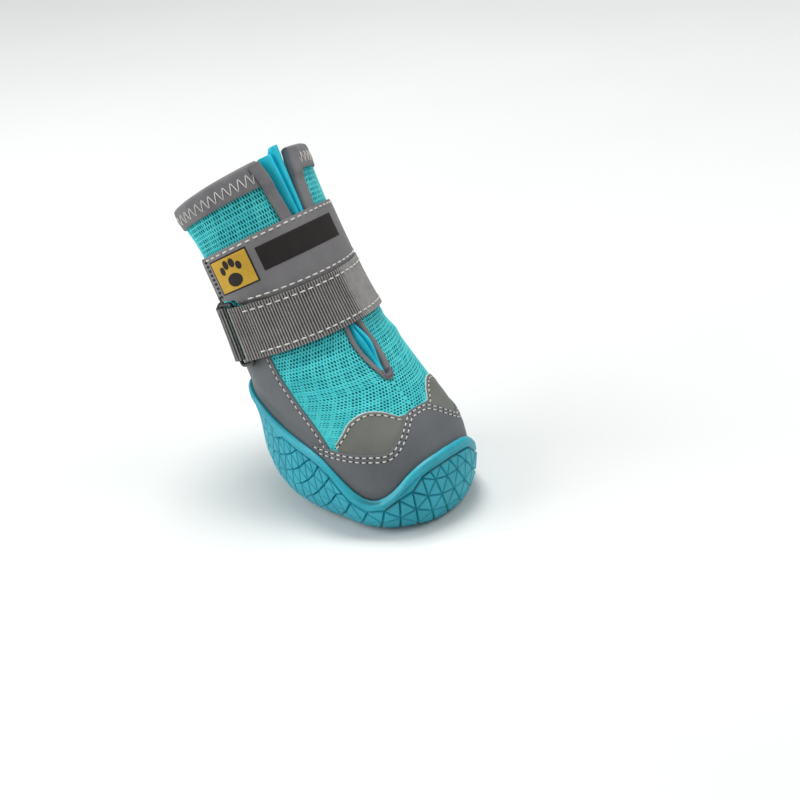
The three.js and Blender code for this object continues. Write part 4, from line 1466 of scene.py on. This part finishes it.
@dataclass
class Throat:
    """The satin gusset behind the slit and the tape round the slit's edge."""

    pleats: tuple[Pleat, ...] = (Pleat(-0.04, 0.08, 3.2), Pleat(0.9, 0.2, 2.4), Pleat(-0.6, 0.2, 0.25))
    slot: Pleat = Pleat(-0.1, 0.14, 2.4)
    overlap: float = 6.0
    low: float = 3.7
    high: float = 9.04
    end_level: float = 3.96
    narrow: float = 1.3
    wide: float = 4.3
    widens: tuple[float, float] = (30.0, 46.0)
    face: float = 0.45
    over_band: float = 0.85
    end_half: float = 1.5
    thread_inset: float = 0.65
    top_step: float = 0.1
    side_drop: float = 0.3
    bulge: float = 1.5
    puff: float = 1.2
    fold_depth: float = 0.8
    slot_depth: float = 0.9
    puff_from: tuple[float, float] = (2.4, 4.5)
    window: tuple[float, float] = (4.85, 0.42)
    slot_reach: tuple[float, float] = (4.95, 0.3)

    def build(self) -> None:
        """Makes the gusset, the tape and the tack at the slit's end."""
        self.gusset()
        self.tape()
        self.tack()

    def gusset(self) -> bpy.types.Object:
        """The pleated satin: folded under the straps, puffed out below and above them.

        Returns:
            The gusset.
        """

        def place(u: Array, v: Array) -> Array:
            """The face of the satin: pleated, and puffed out where the slit is open.

            Args:
                u: Shares along the sheet.
                v: Shares up the sheet.

            Returns:
                One point a row, in millimetres.
            """
            beyond = smoothstep(np.abs(2 * u - 1), 0.4, 0.6)
            high = self.high + self.top_step * smoothstep(2 * u - 1, -0.06, 0.02) - self.side_drop * beyond
            level = self.low + (high - self.low) * v
            open_half = read_table(SLIT_HALF, level)
            x = (open_half + self.overlap) * (2 * u - 1)
            share = x / open_half
            inside = smoothstep(open_half - np.abs(x), 0.1, np.maximum(open_half * 0.7, 0.8))
            wide = smoothstep(open_half, *self.puff_from)
            fold = np.ones_like(share)
            for pleat in self.pleats:
                fold = fold - pleat.drop(share)
            slot = 1 - self.slot.drop(share) * bell(level, *self.slot_reach)
            above, below = self.puff + self.fold_depth * fold, self.puff + self.slot_depth * slot
            rise = self.bulge + above * wide + below * bell(level, *self.window)
            behind = smoothstep(level, FIT.binding_low - 0.5, FIT.binding_low)
            lift = -FIT.wall - FIT.gap - behind * (1 - inside) + inside * rise
            return LAST.skin(LAST.turn_at_x(level, x), level, lift)

        sheet = grid("satin_gusset", 90, 90, place, flip=False)
        round_edges(thicken(sheet, 0.6), 0.15)
        return dress(smooth(sheet, 60), SATIN, "satin", "gusset")

    def over(self, level: Array) -> Array:
        """How much higher the tape and its thread lie where they cross the collar band."""
        return self.over_band * smoothstep(level, FIT.binding_low - 0.12, FIT.binding_low)

    def edge_line(self) -> tuple[Array, Array]:
        """The slit's edge on the flattened front.

        Returns:
            Its points (x across, y up the front from the slit's end) and the directions out from the slit.
        """
        top = COLLAR + 0.02
        level = self.end_level + (top - self.end_level) * np.linspace(0, 1, 260) ** 1.5
        y = run_length(LAST.plain(np.full_like(level, TOE), level))
        half = np.maximum(read_table(SLIT_HALF, level), self.end_half) * smoothstep(y, 0, 2.0) ** 0.5
        both = np.concatenate([np.column_stack([-half[::-1], y[::-1]]), np.column_stack([half[1:], y[1:]])])
        length = run_length(both)
        even = np.linspace(0, length[-1], 360)
        points = resample(length, both, even)
        run = np.gradient(points, axis=0)
        for _ in range(3):
            run[1:-1] = (run[:-2] + run[1:-1] + run[2:]) / 3
        run = unit(run)
        return points, np.column_stack([run[:, 1], -run[:, 0]])

    def flat_to_last(self, x: Array, y: Array) -> tuple[Array, Array]:
        """Turns and levels of points on the flattened front.

        Args:
            x: Millimetres across.
            y: Millimetres up the front from the slit's end.

        Returns:
            The turns and the levels.
        """
        level = self.low + (COLLAR + 0.3 - self.low) * np.linspace(0, 1, 300)
        length = run_length(LAST.plain(np.full_like(level, TOE), level))
        length -= np.interp(self.end_level, level, length)
        found = np.interp(y, length, level)
        return LAST.turn_at_x(found, x), found

    def width(self, y: Array) -> Array:
        """The tape's width up the slit: narrow on the vamp, wide above the straps."""
        return self.narrow + (self.wide - self.narrow) * smoothstep(y, *self.widens)

    def tape(self) -> bpy.types.Object:
        """The tape: laid on the face, rolled over the slit's edge and down behind it.

        Returns:
            The tape.
        """
        points, out = self.edge_line()
        index, face = np.arange(len(points)), self.face
        shares = (0.0, 0.06, 0.3, 0.6, 0.72, 0.8, 0.9, 1.0)
        lifts = (0.3, face + 0.1, face + 0.12, face + 0.1, 0.15, -0.9, -2.1, -2.5)

        def place(u: Array, v: Array) -> Array:
            """The tape's face, from its edge on the upper over the slit's edge to behind it.

            Args:
                u: Shares along the sheet.
                v: Shares up the sheet.

            Returns:
                One point a row, in millimetres.
            """
            at = u * (len(points) - 1)
            (x, y), (ox, oy) = (resample(index, line, at).T for line in (points, out))
            aside = [(width, width - 0.2, width * 0.5, 0.3, -0.35, -0.45, -0.3, 0.6) for width in self.width(y)]
            offset = np.array([np.interp(share, shares, row) for share, row in zip(v, aside)])
            lift = np.interp(v, shares, lifts)
            turn, level = self.flat_to_last(x + ox * offset, y + oy * offset)
            return LAST.skin(turn, level, lift + self.over(level) * (1 - smoothstep(v, 0.62, 0.85)))

        sheet = grid("throat_tape", 260, 16, place)
        thicken(sheet, 0.35, even=False)
        return dress(smooth(sheet, 60), BINDING, "synthetic")

    def tack(self) -> None:
        """Grey thread fanned round the slit's end, and the rows along the tape's outer edge."""
        rows = []
        for fan in np.radians(np.linspace(-115, 115, 13)):
            reach = np.linspace(0.9, 2.9, TACK.rings)
            rows.append(self.flat_to_last(reach * math.sin(fan), 2.1 - reach * math.cos(fan)))
        turn, level = (np.array([row[i] for row in rows]) for i in range(2))
        TACK.lay("slit_tack", turn, level, np.full_like(turn, self.face + 0.15), BINDING_THREAD, "synthetic")
        points, out = self.edge_line()
        inset = self.width(points[:, 1]) - self.thread_inset
        turn, level = self.flat_to_last(*(points + out * inset[:, None]).T)
        rows = [(turn[keep], level[keep], self.face + 0.1 + self.over(level[keep]))
                for keep in self.bare(level, points[:, 0])]
        FINE_SEAM.sew("throat_stitches", rows, THREAD)

    def bare(self, level: Array, x: Array) -> list[Array]:
        """The stretches of the tape that no strap covers, one each side."""
        return [(level > FIT.reflective_top + 0.05) & (x * side > 0) for side in (-1, 1)]


@dataclass
class Collar:
    """The folded band round the collar and its zigzag."""

    across: int = 150
    face: float = 0.95
    back: float = -2.95
    middle: float = 8.75
    cloth: float = 0.5
    end_gap: float = 0.35
    pitch: float = 3.0
    zig_low: float = 0.2
    zig_high: float = 0.78

    def profile(self) -> Array:
        """The band's outer face as shares, lifts and levels, from its lower edge outside to the one inside.

        Returns:
            The three rows.
        """
        face, back, low = self.face, self.back, FIT.binding_low
        rows = ((0, 0.75, low), (0.05, face, low + 0.02), (0.2, face, 8.75), (0.38, face, 8.97), (0.46, 0.7, 9.025),
                (0.5, -0.2, 9.05), (0.58, -1.8, 9.05), (0.64, -2.7, 9.025), (0.7, back, 8.97), (0.85, back, 8.75),
                (1, back, FIT.binding_inside))
        return np.array(rows).T

    def ends(self, level: Array) -> tuple[Array, Array]:
        """Where the band starts and ends beside the throat."""
        half = read_table(SLIT_HALF, level) + self.end_gap
        return LAST.turn_at_x(level, -half), LAST.turn_at_x(level, half) + 360

    def build(self) -> None:
        """Makes the band and its stitching."""
        shares, lifts, levels = self.profile()

        def place(u: Array, v: Array) -> Array:
            """The outer face of the band.

            Args:
                u: Shares along the sheet.
                v: Shares up the sheet.

            Returns:
                One point a row, in millimetres.
            """
            level = np.interp(v, shares, levels)
            start, end = self.ends(level)
            return LAST.skin(start + (end - start) * u, level, np.interp(v, shares, lifts))

        sheet = grid("collar_band", self.across, 44, place)
        round_edges(thicken(sheet, self.cloth), 0.12)
        dress(smooth(sheet, 60), BINDING, "synthetic", "collar_binding")
        self.zigzag("collar_zigzag", self.face, FIT.binding_low)
        self.zigzag("collar_zigzag_inside", self.back, FIT.binding_inside)

    def zigzag(self, name: str, lift: float, low: float) -> bpy.types.Object:
        """White zigzag round the band.

        Args:
            name: The piece's name.
            lift: Millimetres off the upper's face.
            low: The level of the band's lower edge.

        Returns:
            One piece that holds every stitch.
        """
        start, end = (float(value[0]) for value in self.ends(np.array([self.middle])))
        fine = np.linspace(start + 6, end - 6, 500)
        length = run_length(LAST.plain(fine, np.full_like(fine, self.middle)))
        count = int(length[-1] / self.pitch) * 2
        knots = np.interp(np.linspace(0, length[-1], count + 1), length, fine)
        heights = low + (COLLAR - low) * np.where(np.arange(count + 1) % 2 == 0, self.zig_low, self.zig_high)
        share = np.linspace(0, 1, ZIGZAG.rings)
        turn, level = (ends[:-1, None] + np.diff(ends)[:, None] * share for ends in (knots, heights))
        thread = ZIGZAG if lift > 0 else Thread(radius=ZIGZAG.radius, proud=-ZIGZAG.proud)
        return thread.lay(name, turn, level, np.full_like(turn, lift), THREAD, "webbing")


# ---- Straps ---------------------------------------------------------------------------------------------------------


@dataclass
class ReflectiveStrap:
    """The wide grey strap, its loop pad, its blank label and its badge."""

    cloth: float = 0.9
    seam_inset: float = 1.3
    per_level: float = 15.0
    under_webbing: float = 0.75
    ring_side: float = 161.0
    label_start: float = 59.5
    label_end: float = 137.0
    label_low: float = 7.22
    label_high: float = 7.8
    badge_start: float = 143.0
    badge_end: float = 181.0
    badge_low: float = 7.06
    badge_high: float = 7.92
    badge_rim: tuple[float, float] = (1.4, 0.035)
    badge_degree: float = 0.47
    pad_inset: float = 1.2
    pad_face: float = 0.95
    pile: float = 0.28
    pressed: float = 0.25
    seam_drop: float = 0.5
    end_insets: tuple[float, float] = (0.8, 1.5)
    ink_lift: float = 0.27
    ink_thick: float = 0.15

    def build(self) -> None:
        """Makes the strap and what is on it."""
        strap = Panel("reflective_band", FIT.reflective_start, FIT.reflective_end, FIT.reflective_bottom, self.top,
                      self.face, self.cloth, 260, 12, 0.3)
        dress(strap.make(), REFLECTIVE, "reflective", "reflective_strap")
        self.pad()
        self.seams()
        self.label()
        self.badge()

    def top(self, turn: Array) -> Array:
        """The strap's upper edge."""
        return np.full_like(turn, FIT.reflective_top)

    def face(self, turn: Array, level: Array) -> Array:
        """How far the strap's outer face stands off, pressed down at its top and where the webbing holds it.

        Args:
            turn: Degrees round the boot.
            level: Levels up the boot.

        Returns:
            Millimetres off the upper's face.
        """
        height = FIT.reflective_lift(turn) + FIT.reflective_thick - 0.1
        top = (FIT.reflective_top - level) * self.per_level
        above = (level - FIT.webbing_top(turn)) * self.per_level
        held = (1 - smoothstep(above, 0.1, 1.3)) * (FIT.strap_space(turn) < 0)
        return height - self.pressed * np.exp(-(top**2)) - (height - self.under_webbing) * held

    def pad(self) -> bpy.types.Object:
        """The loop pad that the strap's end grips, with its pile.

        Returns:
            The pad.
        """

        def low(turn: Array) -> Array:
            """The pad's lower edge."""
            return LAST.climb(turn, FIT.reflective_bottom(turn), self.pad_inset)

        def high(turn: Array) -> Array:
            """The pad's upper edge."""
            return LAST.climb(turn, FIT.reflective_top, -self.pad_inset)

        source = np.random.default_rng(7)

        def face(turn: Array, level: Array) -> Array:
            """The pile's uneven height."""
            return self.pad_face + self.pile * source.random(turn.shape)

        pad = Panel("loop_pad", FIT.pad_from, FIT.pad_to, low, high, face, 0.9, 110, 84, 0.1)
        return dress(pad.make(), FUZZ, "fuzz", "loop_patch")

    def seams(self) -> None:
        """White rows along both edges and the dark tack that closes the end."""
        turn = np.linspace(FIT.reflective_start + 3, FIT.reflective_end - 2, 700)
        rows = []
        plain = turn[turn < self.ring_side]
        for along, level, inset in ((turn, self.top(turn), self.seam_inset),
                                    (plain, FIT.webbing_top(plain), -self.seam_inset - self.seam_drop)):
            line = LAST.beside(along, level, inset)
            rows.append((*line, self.face(*line)))
        SEAM.sew("reflective_stitches", rows, THREAD)
        end = np.array([FIT.reflective_end])
        low, high = float(FIT.reflective_bottom(end)[0]), FIT.reflective_top
        level = np.linspace(low + 0.05, high - 0.05, 60)
        rows = []
        for inset in self.end_insets:
            turn = np.full_like(level, FIT.reflective_end - inset / SHAFT_DEGREE)
            rows.append((turn, level, self.face(turn, level)))
        END_SEAM.sew("strap_end_stitches", rows, DARK_THREAD)

    def tile(self, name: str, turns: tuple[float, float], levels: tuple[float, float], lift: float,
             cuts: tuple[int, int], edge: float, finish: Finish) -> None:
        """Something thin that is printed or fused on the strap.

        Args:
            name: The piece's name.
            turns: Where it starts and ends round the strap.
            levels: Its lower and upper level.
            lift: Millimetres that its face stands off the strap's.
            cuts: Faces along it and up it.
            edge: How far its edges are rounded.
            finish: What it is made of.
        """
        panel = Panel(name, *turns, *map(level_curve, levels), lambda turn, level: self.face(turn, level) + lift,
                      0.2, *cuts, edge)
        dress(panel.make(), finish, "reflective")

    def label(self) -> None:
        """The blank dark label."""
        self.tile("blank_label", (self.label_start, self.label_end), (self.label_low, self.label_high), 0.16,
                  (60, 10), 0.08, LABEL)

    def badge(self) -> None:
        """The square badge: a dark border, a yellow field and a plain paw print."""
        (left, right), (low, high) = (self.badge_start, self.badge_end), (self.badge_low, self.badge_high)
        aside, up = self.badge_rim
        self.tile("badge_border", (left, right), (low, high), 0.12, (40, 16), 0.06, BADGE_INK)
        self.tile("badge_field", (left + aside, right - aside), (low + up, high - up), 0.2, (40, 16), 0.06, BADGE)
        middle = ((left + right) / 2, (low + high) / 2)
        pads = ((0.0, -0.17, 3.2, 2.5), (-3.7, 0.13, 1.15, 1.6), (-1.35, 0.24, 1.2, 1.75), (1.35, 0.24, 1.2, 1.75),
                (3.7, 0.13, 1.15, 1.6))
        for index, (aside, rise, half, tall) in enumerate(pads):
            self.print_pad(f"paw_print_{index + 1}", middle, aside, rise, half, tall)

    def print_pad(self, name: str, middle: tuple[float, float], aside: float, rise: float, half: float,
                  tall: float) -> bpy.types.Object:
        """One oval of the paw print: a disc primitive laid on the badge.

        Args:
            name: The piece's name.
            middle: The badge's middle, as a turn and a level.
            aside: Millimetres to the side of the middle.
            rise: Levels above the middle.
            half: Half the oval's width in millimetres.
            tall: Half its height in millimetres.

        Returns:
            The oval.
        """
        deselect()
        bpy.ops.mesh.primitive_circle_add(vertices=24, radius=1.0, fill_type="TRIFAN")
        disc = bpy.context.object
        disc.name = disc.data.name = name
        edit_all(disc, lambda: bpy.ops.mesh.subdivide(number_cuts=1))
        flat = coordinates(disc)
        turn = middle[0] + (aside + flat[:, 0] * half) / self.badge_degree
        level = LAST.climb(turn, middle[1] + rise, flat[:, 1] * tall)
        place_points(disc, LAST.skin(turn, level, self.face(turn, level) + self.ink_lift))
        edit_all(disc, bpy.ops.mesh.flip_normals)
        return dress(smooth(thicken(disc, self.ink_thick)), BADGE_INK, "reflective")


@dataclass(frozen=True)
class Ribbon:
    """A strap that follows a path of turns and lifts, ribbed across its width."""

    name: str
    path: tuple[tuple[float, float], ...]
    way: int
    thick: float = 1.0
    rib: float = 1.0
    rib_height: float = 0.22
    step: float = 0.2
    twill_from: float = 84.0
    twill_to: float = -40.0
    twill_fade: float = 8.0
    twill_share: float = 0.8
    selvedge: float = 0.03

    def centre(self) -> tuple[Array, Array]:
        """The path, rounded and evenly spaced, in millimetres along the shaft and off it.

        Returns:
            Its points and the directions out from the shaft.
        """
        knots = with_ends(np.array(self.path) * (SHAFT_DEGREE, 1.0))
        share = np.linspace(0, 1, 24, endpoint=False)[:, None]
        line = np.vstack([*(catmull_rom(*knots[i : i + 4], share) for i in range(len(knots) - 3)), knots[-2]])
        length = run_length(line)
        points = resample(length, line, np.arange(0, length[-1], self.step))
        run = unit(np.gradient(points, axis=0))
        return points, np.column_stack([-run[:, 1], run[:, 0]]) * self.way

    def ribbed(self, turns: Array) -> Array:
        """How deep the ribs are: full where the strap lies double and on the side, faint across the other side.

        Args:
            turns: Degrees round the boot.

        Returns:
            The depth at each turn, as a share of the full ribs.
        """
        before = smoothstep(self.twill_from - turns, 0, self.twill_fade)
        after = smoothstep(turns - self.twill_to, 0, self.twill_fade)
        return 1 - self.twill_share * before * after

    def make(self) -> bpy.types.Object:
        """The ribbed strap as a closed solid.

        Returns:
            The strap.
        """
        points, out = self.centre()
        count = len(points)
        ribbed = self.ribbed(points[:, 0] / SHAFT_DEGREE)

        def place(u: Array, v: Array) -> Array:
            """The strap's outer face, with its ribs.

            Args:
                u: Shares along the sheet.
                v: Shares up the sheet.

            Returns:
                One point a row, in millimetres.
            """
            index = np.clip(np.rint(u * (count - 1)).astype(int), 0, count - 1)
            wave = -np.cos(2 * math.pi * index * self.step / self.rib)
            edge = smoothstep(np.minimum(v, 1 - v), 0.0, self.selvedge)
            rise = self.thick / 2 + self.rib_height * (wave * ribbed[index] - 1) * (0.4 + 0.6 * edge)
            flat = points[index] + out[index] * rise[:, None]
            turn = flat[:, 0] / SHAFT_DEGREE
            low = np.full_like(turn, FIT.webbing_bottom)
            level = low + (FIT.webbing_top(turn) - low) * v
            return LAST.skin(turn, level, flat[:, 1])

        sheet = grid(self.name, count - 1, 14, place, flip=self.way > 0, long=(count - 1) * self.step)
        along = read_items(sheet.data.uv_layers[0].data, "uv", 2)[:, 0] * UV_MM / self.step
        marks = np.empty(len(sheet.data.vertices))
        marks[read_items(sheet.data.loops, "vertex_index", 1, int)] = ribbed[
            np.rint(along).astype(int).clip(0, count - 1)]
        mark(sheet, RIBBED, marks)
        return smooth(round_edges(thicken(sheet, self.thick - 0.25), 0.18), 55)


@dataclass
class WebbingStrap:
    """The ribbed strap, the ring it is threaded through and the ring's tab."""

    bar: float = 0.8
    near: float = 178.5
    far: float = 197.0
    ring_length: float = 23.6
    ring_lift: float = 2.5
    ring_corner: float = 1.6
    slack: float = 0.2
    tab_end: float = 232.0
    rise: float = 0.45
    sunk: float = 0.15
    seam_inset: float = 2.2
    landing: float = 36.0

    @property
    def flat(self) -> float:
        """The lift of the strap's middle where it lies on the shaft."""
        return FIT.gap + FIT.webbing_thick / 2 + self.rise

    @property
    def upper(self) -> float:
        """The lift of the layer that lies on the one below."""
        return self.flat + FIT.webbing_thick + 0.15

    @property
    def slope(self) -> list[tuple[float, float]]:
        """How the upper layer comes down from the ring, as turns and lifts."""
        near, upper = self.near, self.upper
        return [(near - 5, upper + 1.1), (near - 10, upper + 0.35), (near - 18, upper), (near - 28, upper - 0.6)]

    def fold(self, turn: float, way: int) -> list[tuple[float, float]]:
        """The half turn round a ring bar, from under it to over it.

        Args:
            turn: Where the bar lies.
            way: 1 to bulge towards higher turns, -1 towards lower ones.

        Returns:
            Turns and lifts round the bar.
        """
        radius = self.bar + self.slack + FIT.webbing_thick / 2
        return [(turn + way * radius * math.sin(angle) / SHAFT_DEGREE, self.ring_lift - radius * math.cos(angle))
                for angle in np.linspace(0, math.pi, 8)]

    def build(self) -> None:
        """Makes the strap, the tab, the ring and the stitching."""
        near, far, end, flat, upper = self.near, self.far, self.tab_end, self.flat, self.upper
        rounds = np.linspace(near - self.landing, end + 1 - 360, 60)
        # along the shaft to the ring, round its bar, back over the lower layer and on round the shaft
        strap = ((near - 16, flat), (near - 10, flat), (near - 5, flat + 0.05), *self.fold(near, 1), *self.slope,
                 *((turn, flat) for turn in rounds))
        dress(Ribbon("ribbed_strap", strap, -1).make(), WEBBING, "webbing", "webbing_strap")
        tab = ((end + 0.8, flat), (end - 10, flat), (far + 10, flat), (far + 5, flat + 0.05), *self.fold(far, -1),
               (far + 5, upper + 1.1), (far + 11, upper + 0.35), (far + 18, upper), (end + 5, upper))
        dress(Ribbon("ring_loop", tab, 1).make(), WEBBING, "webbing", "ring_tab")
        self.ring()
        self.seams()

    def outer(self, turn: Array) -> Array:
        """The lift of the strap's outer face on its upper run."""
        keys, lifts = zip((self.near - self.landing, self.flat), *reversed(self.slope))
        return np.interp(turn, keys, lifts) + FIT.webbing_thick / 2 - self.sunk

    def ring(self) -> bpy.types.Object:
        """The rectangular ring: round bars that meet in round corners, from a square bar bent and bevelled.

        Returns:
            The ring.
        """
        turns = np.array([self.near, self.far, self.far, self.near])
        middle = (FIT.webbing_bottom + FIT.webbing_top(np.array([(self.near + self.far) / 2]))) / 2
        level = LAST.climb(turns, middle, np.array([-1, -1, 1, 1]) * self.ring_length / 2)
        corners = LAST.skin(turns, level, self.ring_lift)
        rounded = self.bent(corners, self.ring_corner)
        deselect()
        bpy.ops.curve.primitive_bezier_curve_add()
        wire = bpy.context.object
        wire.data.splines.clear()
        spline = wire.data.splines.new("POLY")
        spline.points.add(len(rounded) - 1)
        for point, place in zip(spline.points, rounded):
            point.co = (*(place * MM), 1.0)
        spline.use_cyclic_u = True
        wire.data.dimensions = "3D"
        wire.data.bevel_depth = self.bar * MM
        wire.data.bevel_resolution = 4
        bpy.ops.object.convert(target="MESH")
        ring = bpy.context.object
        ring.name = ring.data.name = "strap_ring_bars"
        weld(ring)
        return dress(smooth(ring, 60), PLASTIC, "plastic", "strap_ring")

    @staticmethod
    def bent(corners: Array, radius: float) -> Array:
        """A closed line through corners, with each corner rounded.

        Args:
            corners: One corner a row.
            radius: Millimetres from each corner to where its bend starts.

        Returns:
            One point a row, in millimetres.
        """
        rounded = []
        for i, corner in enumerate(corners):
            before, after = corners[i - 1] - corner, corners[(i + 1) % len(corners)] - corner
            start, end = (corner + way / np.linalg.norm(way) * radius for way in (before, after))
            for t in np.linspace(0, 1, 7):
                rounded.append((1 - t) ** 2 * start + 2 * t * (1 - t) * corner + t * t * end)
        return np.array(rounded)

    def seams(self) -> None:
        """White rows along the strap's edges and across the tab."""
        turn = np.linspace(self.tab_end - 360 + 8, self.near - 10, 700)
        rows = []
        for level, side in ((FIT.webbing_top(turn), 1), (np.full_like(turn, FIT.webbing_bottom), -1)):
            line = LAST.beside(turn, level, side * self.seam_inset)
            rows.append((*line, self.outer(line[0])))
        SEAM.sew("webbing_stitches", rows, THREAD)
        level = np.linspace(FIT.webbing_bottom + 0.06, float(FIT.webbing_top(np.array([215.0]))[0]) - 0.06, 60)
        lift = self.upper + FIT.webbing_thick / 2 - self.sunk
        rows = [(np.full_like(level, turn), level, lift) for turn in (self.tab_end - 7, self.tab_end - 15)]
        SEAM.sew("tab_stitches", rows, THREAD)


# ---- Studio ---------------------------------------------------------------------------------------------------------


@dataclass
class Studio:
    """Plain floor, soft lights and the camera."""

    azimuth: float = -44.5
    elevation: float = 25.9
    roll: float = 6.1
    distance: float = 650.0
    scale: float = 2.7
    aim_height: float = 55.0
    across: float = 359.1
    down: float = 356.6
    picture: int = 800
    sensor: float = 36.0
    lit: tuple[float, float, float] = (0.0, 0.0, 0.05)

    def build(self) -> None:
        """Sets the floor, the lights, the world and the camera."""
        self.camera()
        self.floor()
        self.lights()

    def camera(self) -> None:
        """The camera, rolled as the boot is tilted, with a small shift for the framing."""
        a, e = math.radians(self.azimuth), math.radians(self.elevation)
        right = Vector((math.cos(a), math.sin(a), 0))
        back = Vector((math.sin(a) * math.cos(e), -math.cos(a) * math.cos(e), math.sin(e)))
        up = back.cross(right)
        turn = Matrix.Rotation(math.radians(-self.roll), 3, back)
        aim = Vector((0, LAST.shift, self.aim_height)) * MM
        data = bpy.data.cameras.new("camera")
        data.sensor_width = self.sensor
        data.lens = self.scale * self.distance * self.sensor / self.picture
        data.shift_x = (self.picture / 2 - self.across) / self.picture
        data.shift_y = (self.down - self.picture / 2) / self.picture
        camera = bpy.data.objects.new("camera", data)
        basis = Matrix((turn @ right, turn @ up, back)).transposed().to_4x4()
        camera.matrix_world = Matrix.Translation(aim + back * self.distance * MM) @ basis
        bpy.context.scene.collection.objects.link(camera)
        bpy.context.scene.camera = camera

    def floor(self) -> None:
        """A wide pale floor."""
        deselect()
        bpy.ops.mesh.primitive_plane_add(size=6)
        floor = bpy.context.object
        floor.name = "floor"
        floor.data.materials.append(FLOOR.material())

    def lights(self) -> None:
        """A soft key overhead, a wide light from the ring side, two weaker ones in front and a pale world."""
        scene = bpy.context.scene
        scene.view_settings.view_transform = "Standard"
        world = bpy.data.worlds.new("studio")
        scene.world = world
        world.use_nodes = True
        colour, strength = world.node_tree.nodes["Background"].inputs[:2]
        colour.default_value, strength.default_value = (1, 1, 1, 1), 0.4
        for name, place, energy, size in (
            ("key", (0.15, 0.2, 1.2), 10.0, 0.5),
            ("side", (-0.75, 0.6, 0.6), 8.0, 0.8),
            ("front", (0.5, -0.6, 0.9), 3.0, 0.6),
            ("fill", (-0.5, -0.8, 0.6), 0.6, 0.9),
        ):
            data = bpy.data.lights.new(name, "AREA")
            data.energy, data.size = energy, size
            light = bpy.data.objects.new(name, data)
            light.location = place
            light.rotation_euler = (Vector(self.lit) - Vector(place)).to_track_quat("-Z", "Y").to_euler()
            scene.collection.objects.link(light)


def main() -> None:
    """Builds the boot piece by piece."""
    logging.basicConfig(level=logging.INFO, format="%(message)s")
    Studio().build()
    CupSole().build()
    KnitUpper().build()
    Overlays().build()
    Throat().build()
    Collar().build()
    ReflectiveStrap().build()
    WebbingStrap().build()


if __name__ == "__main__":
    main()
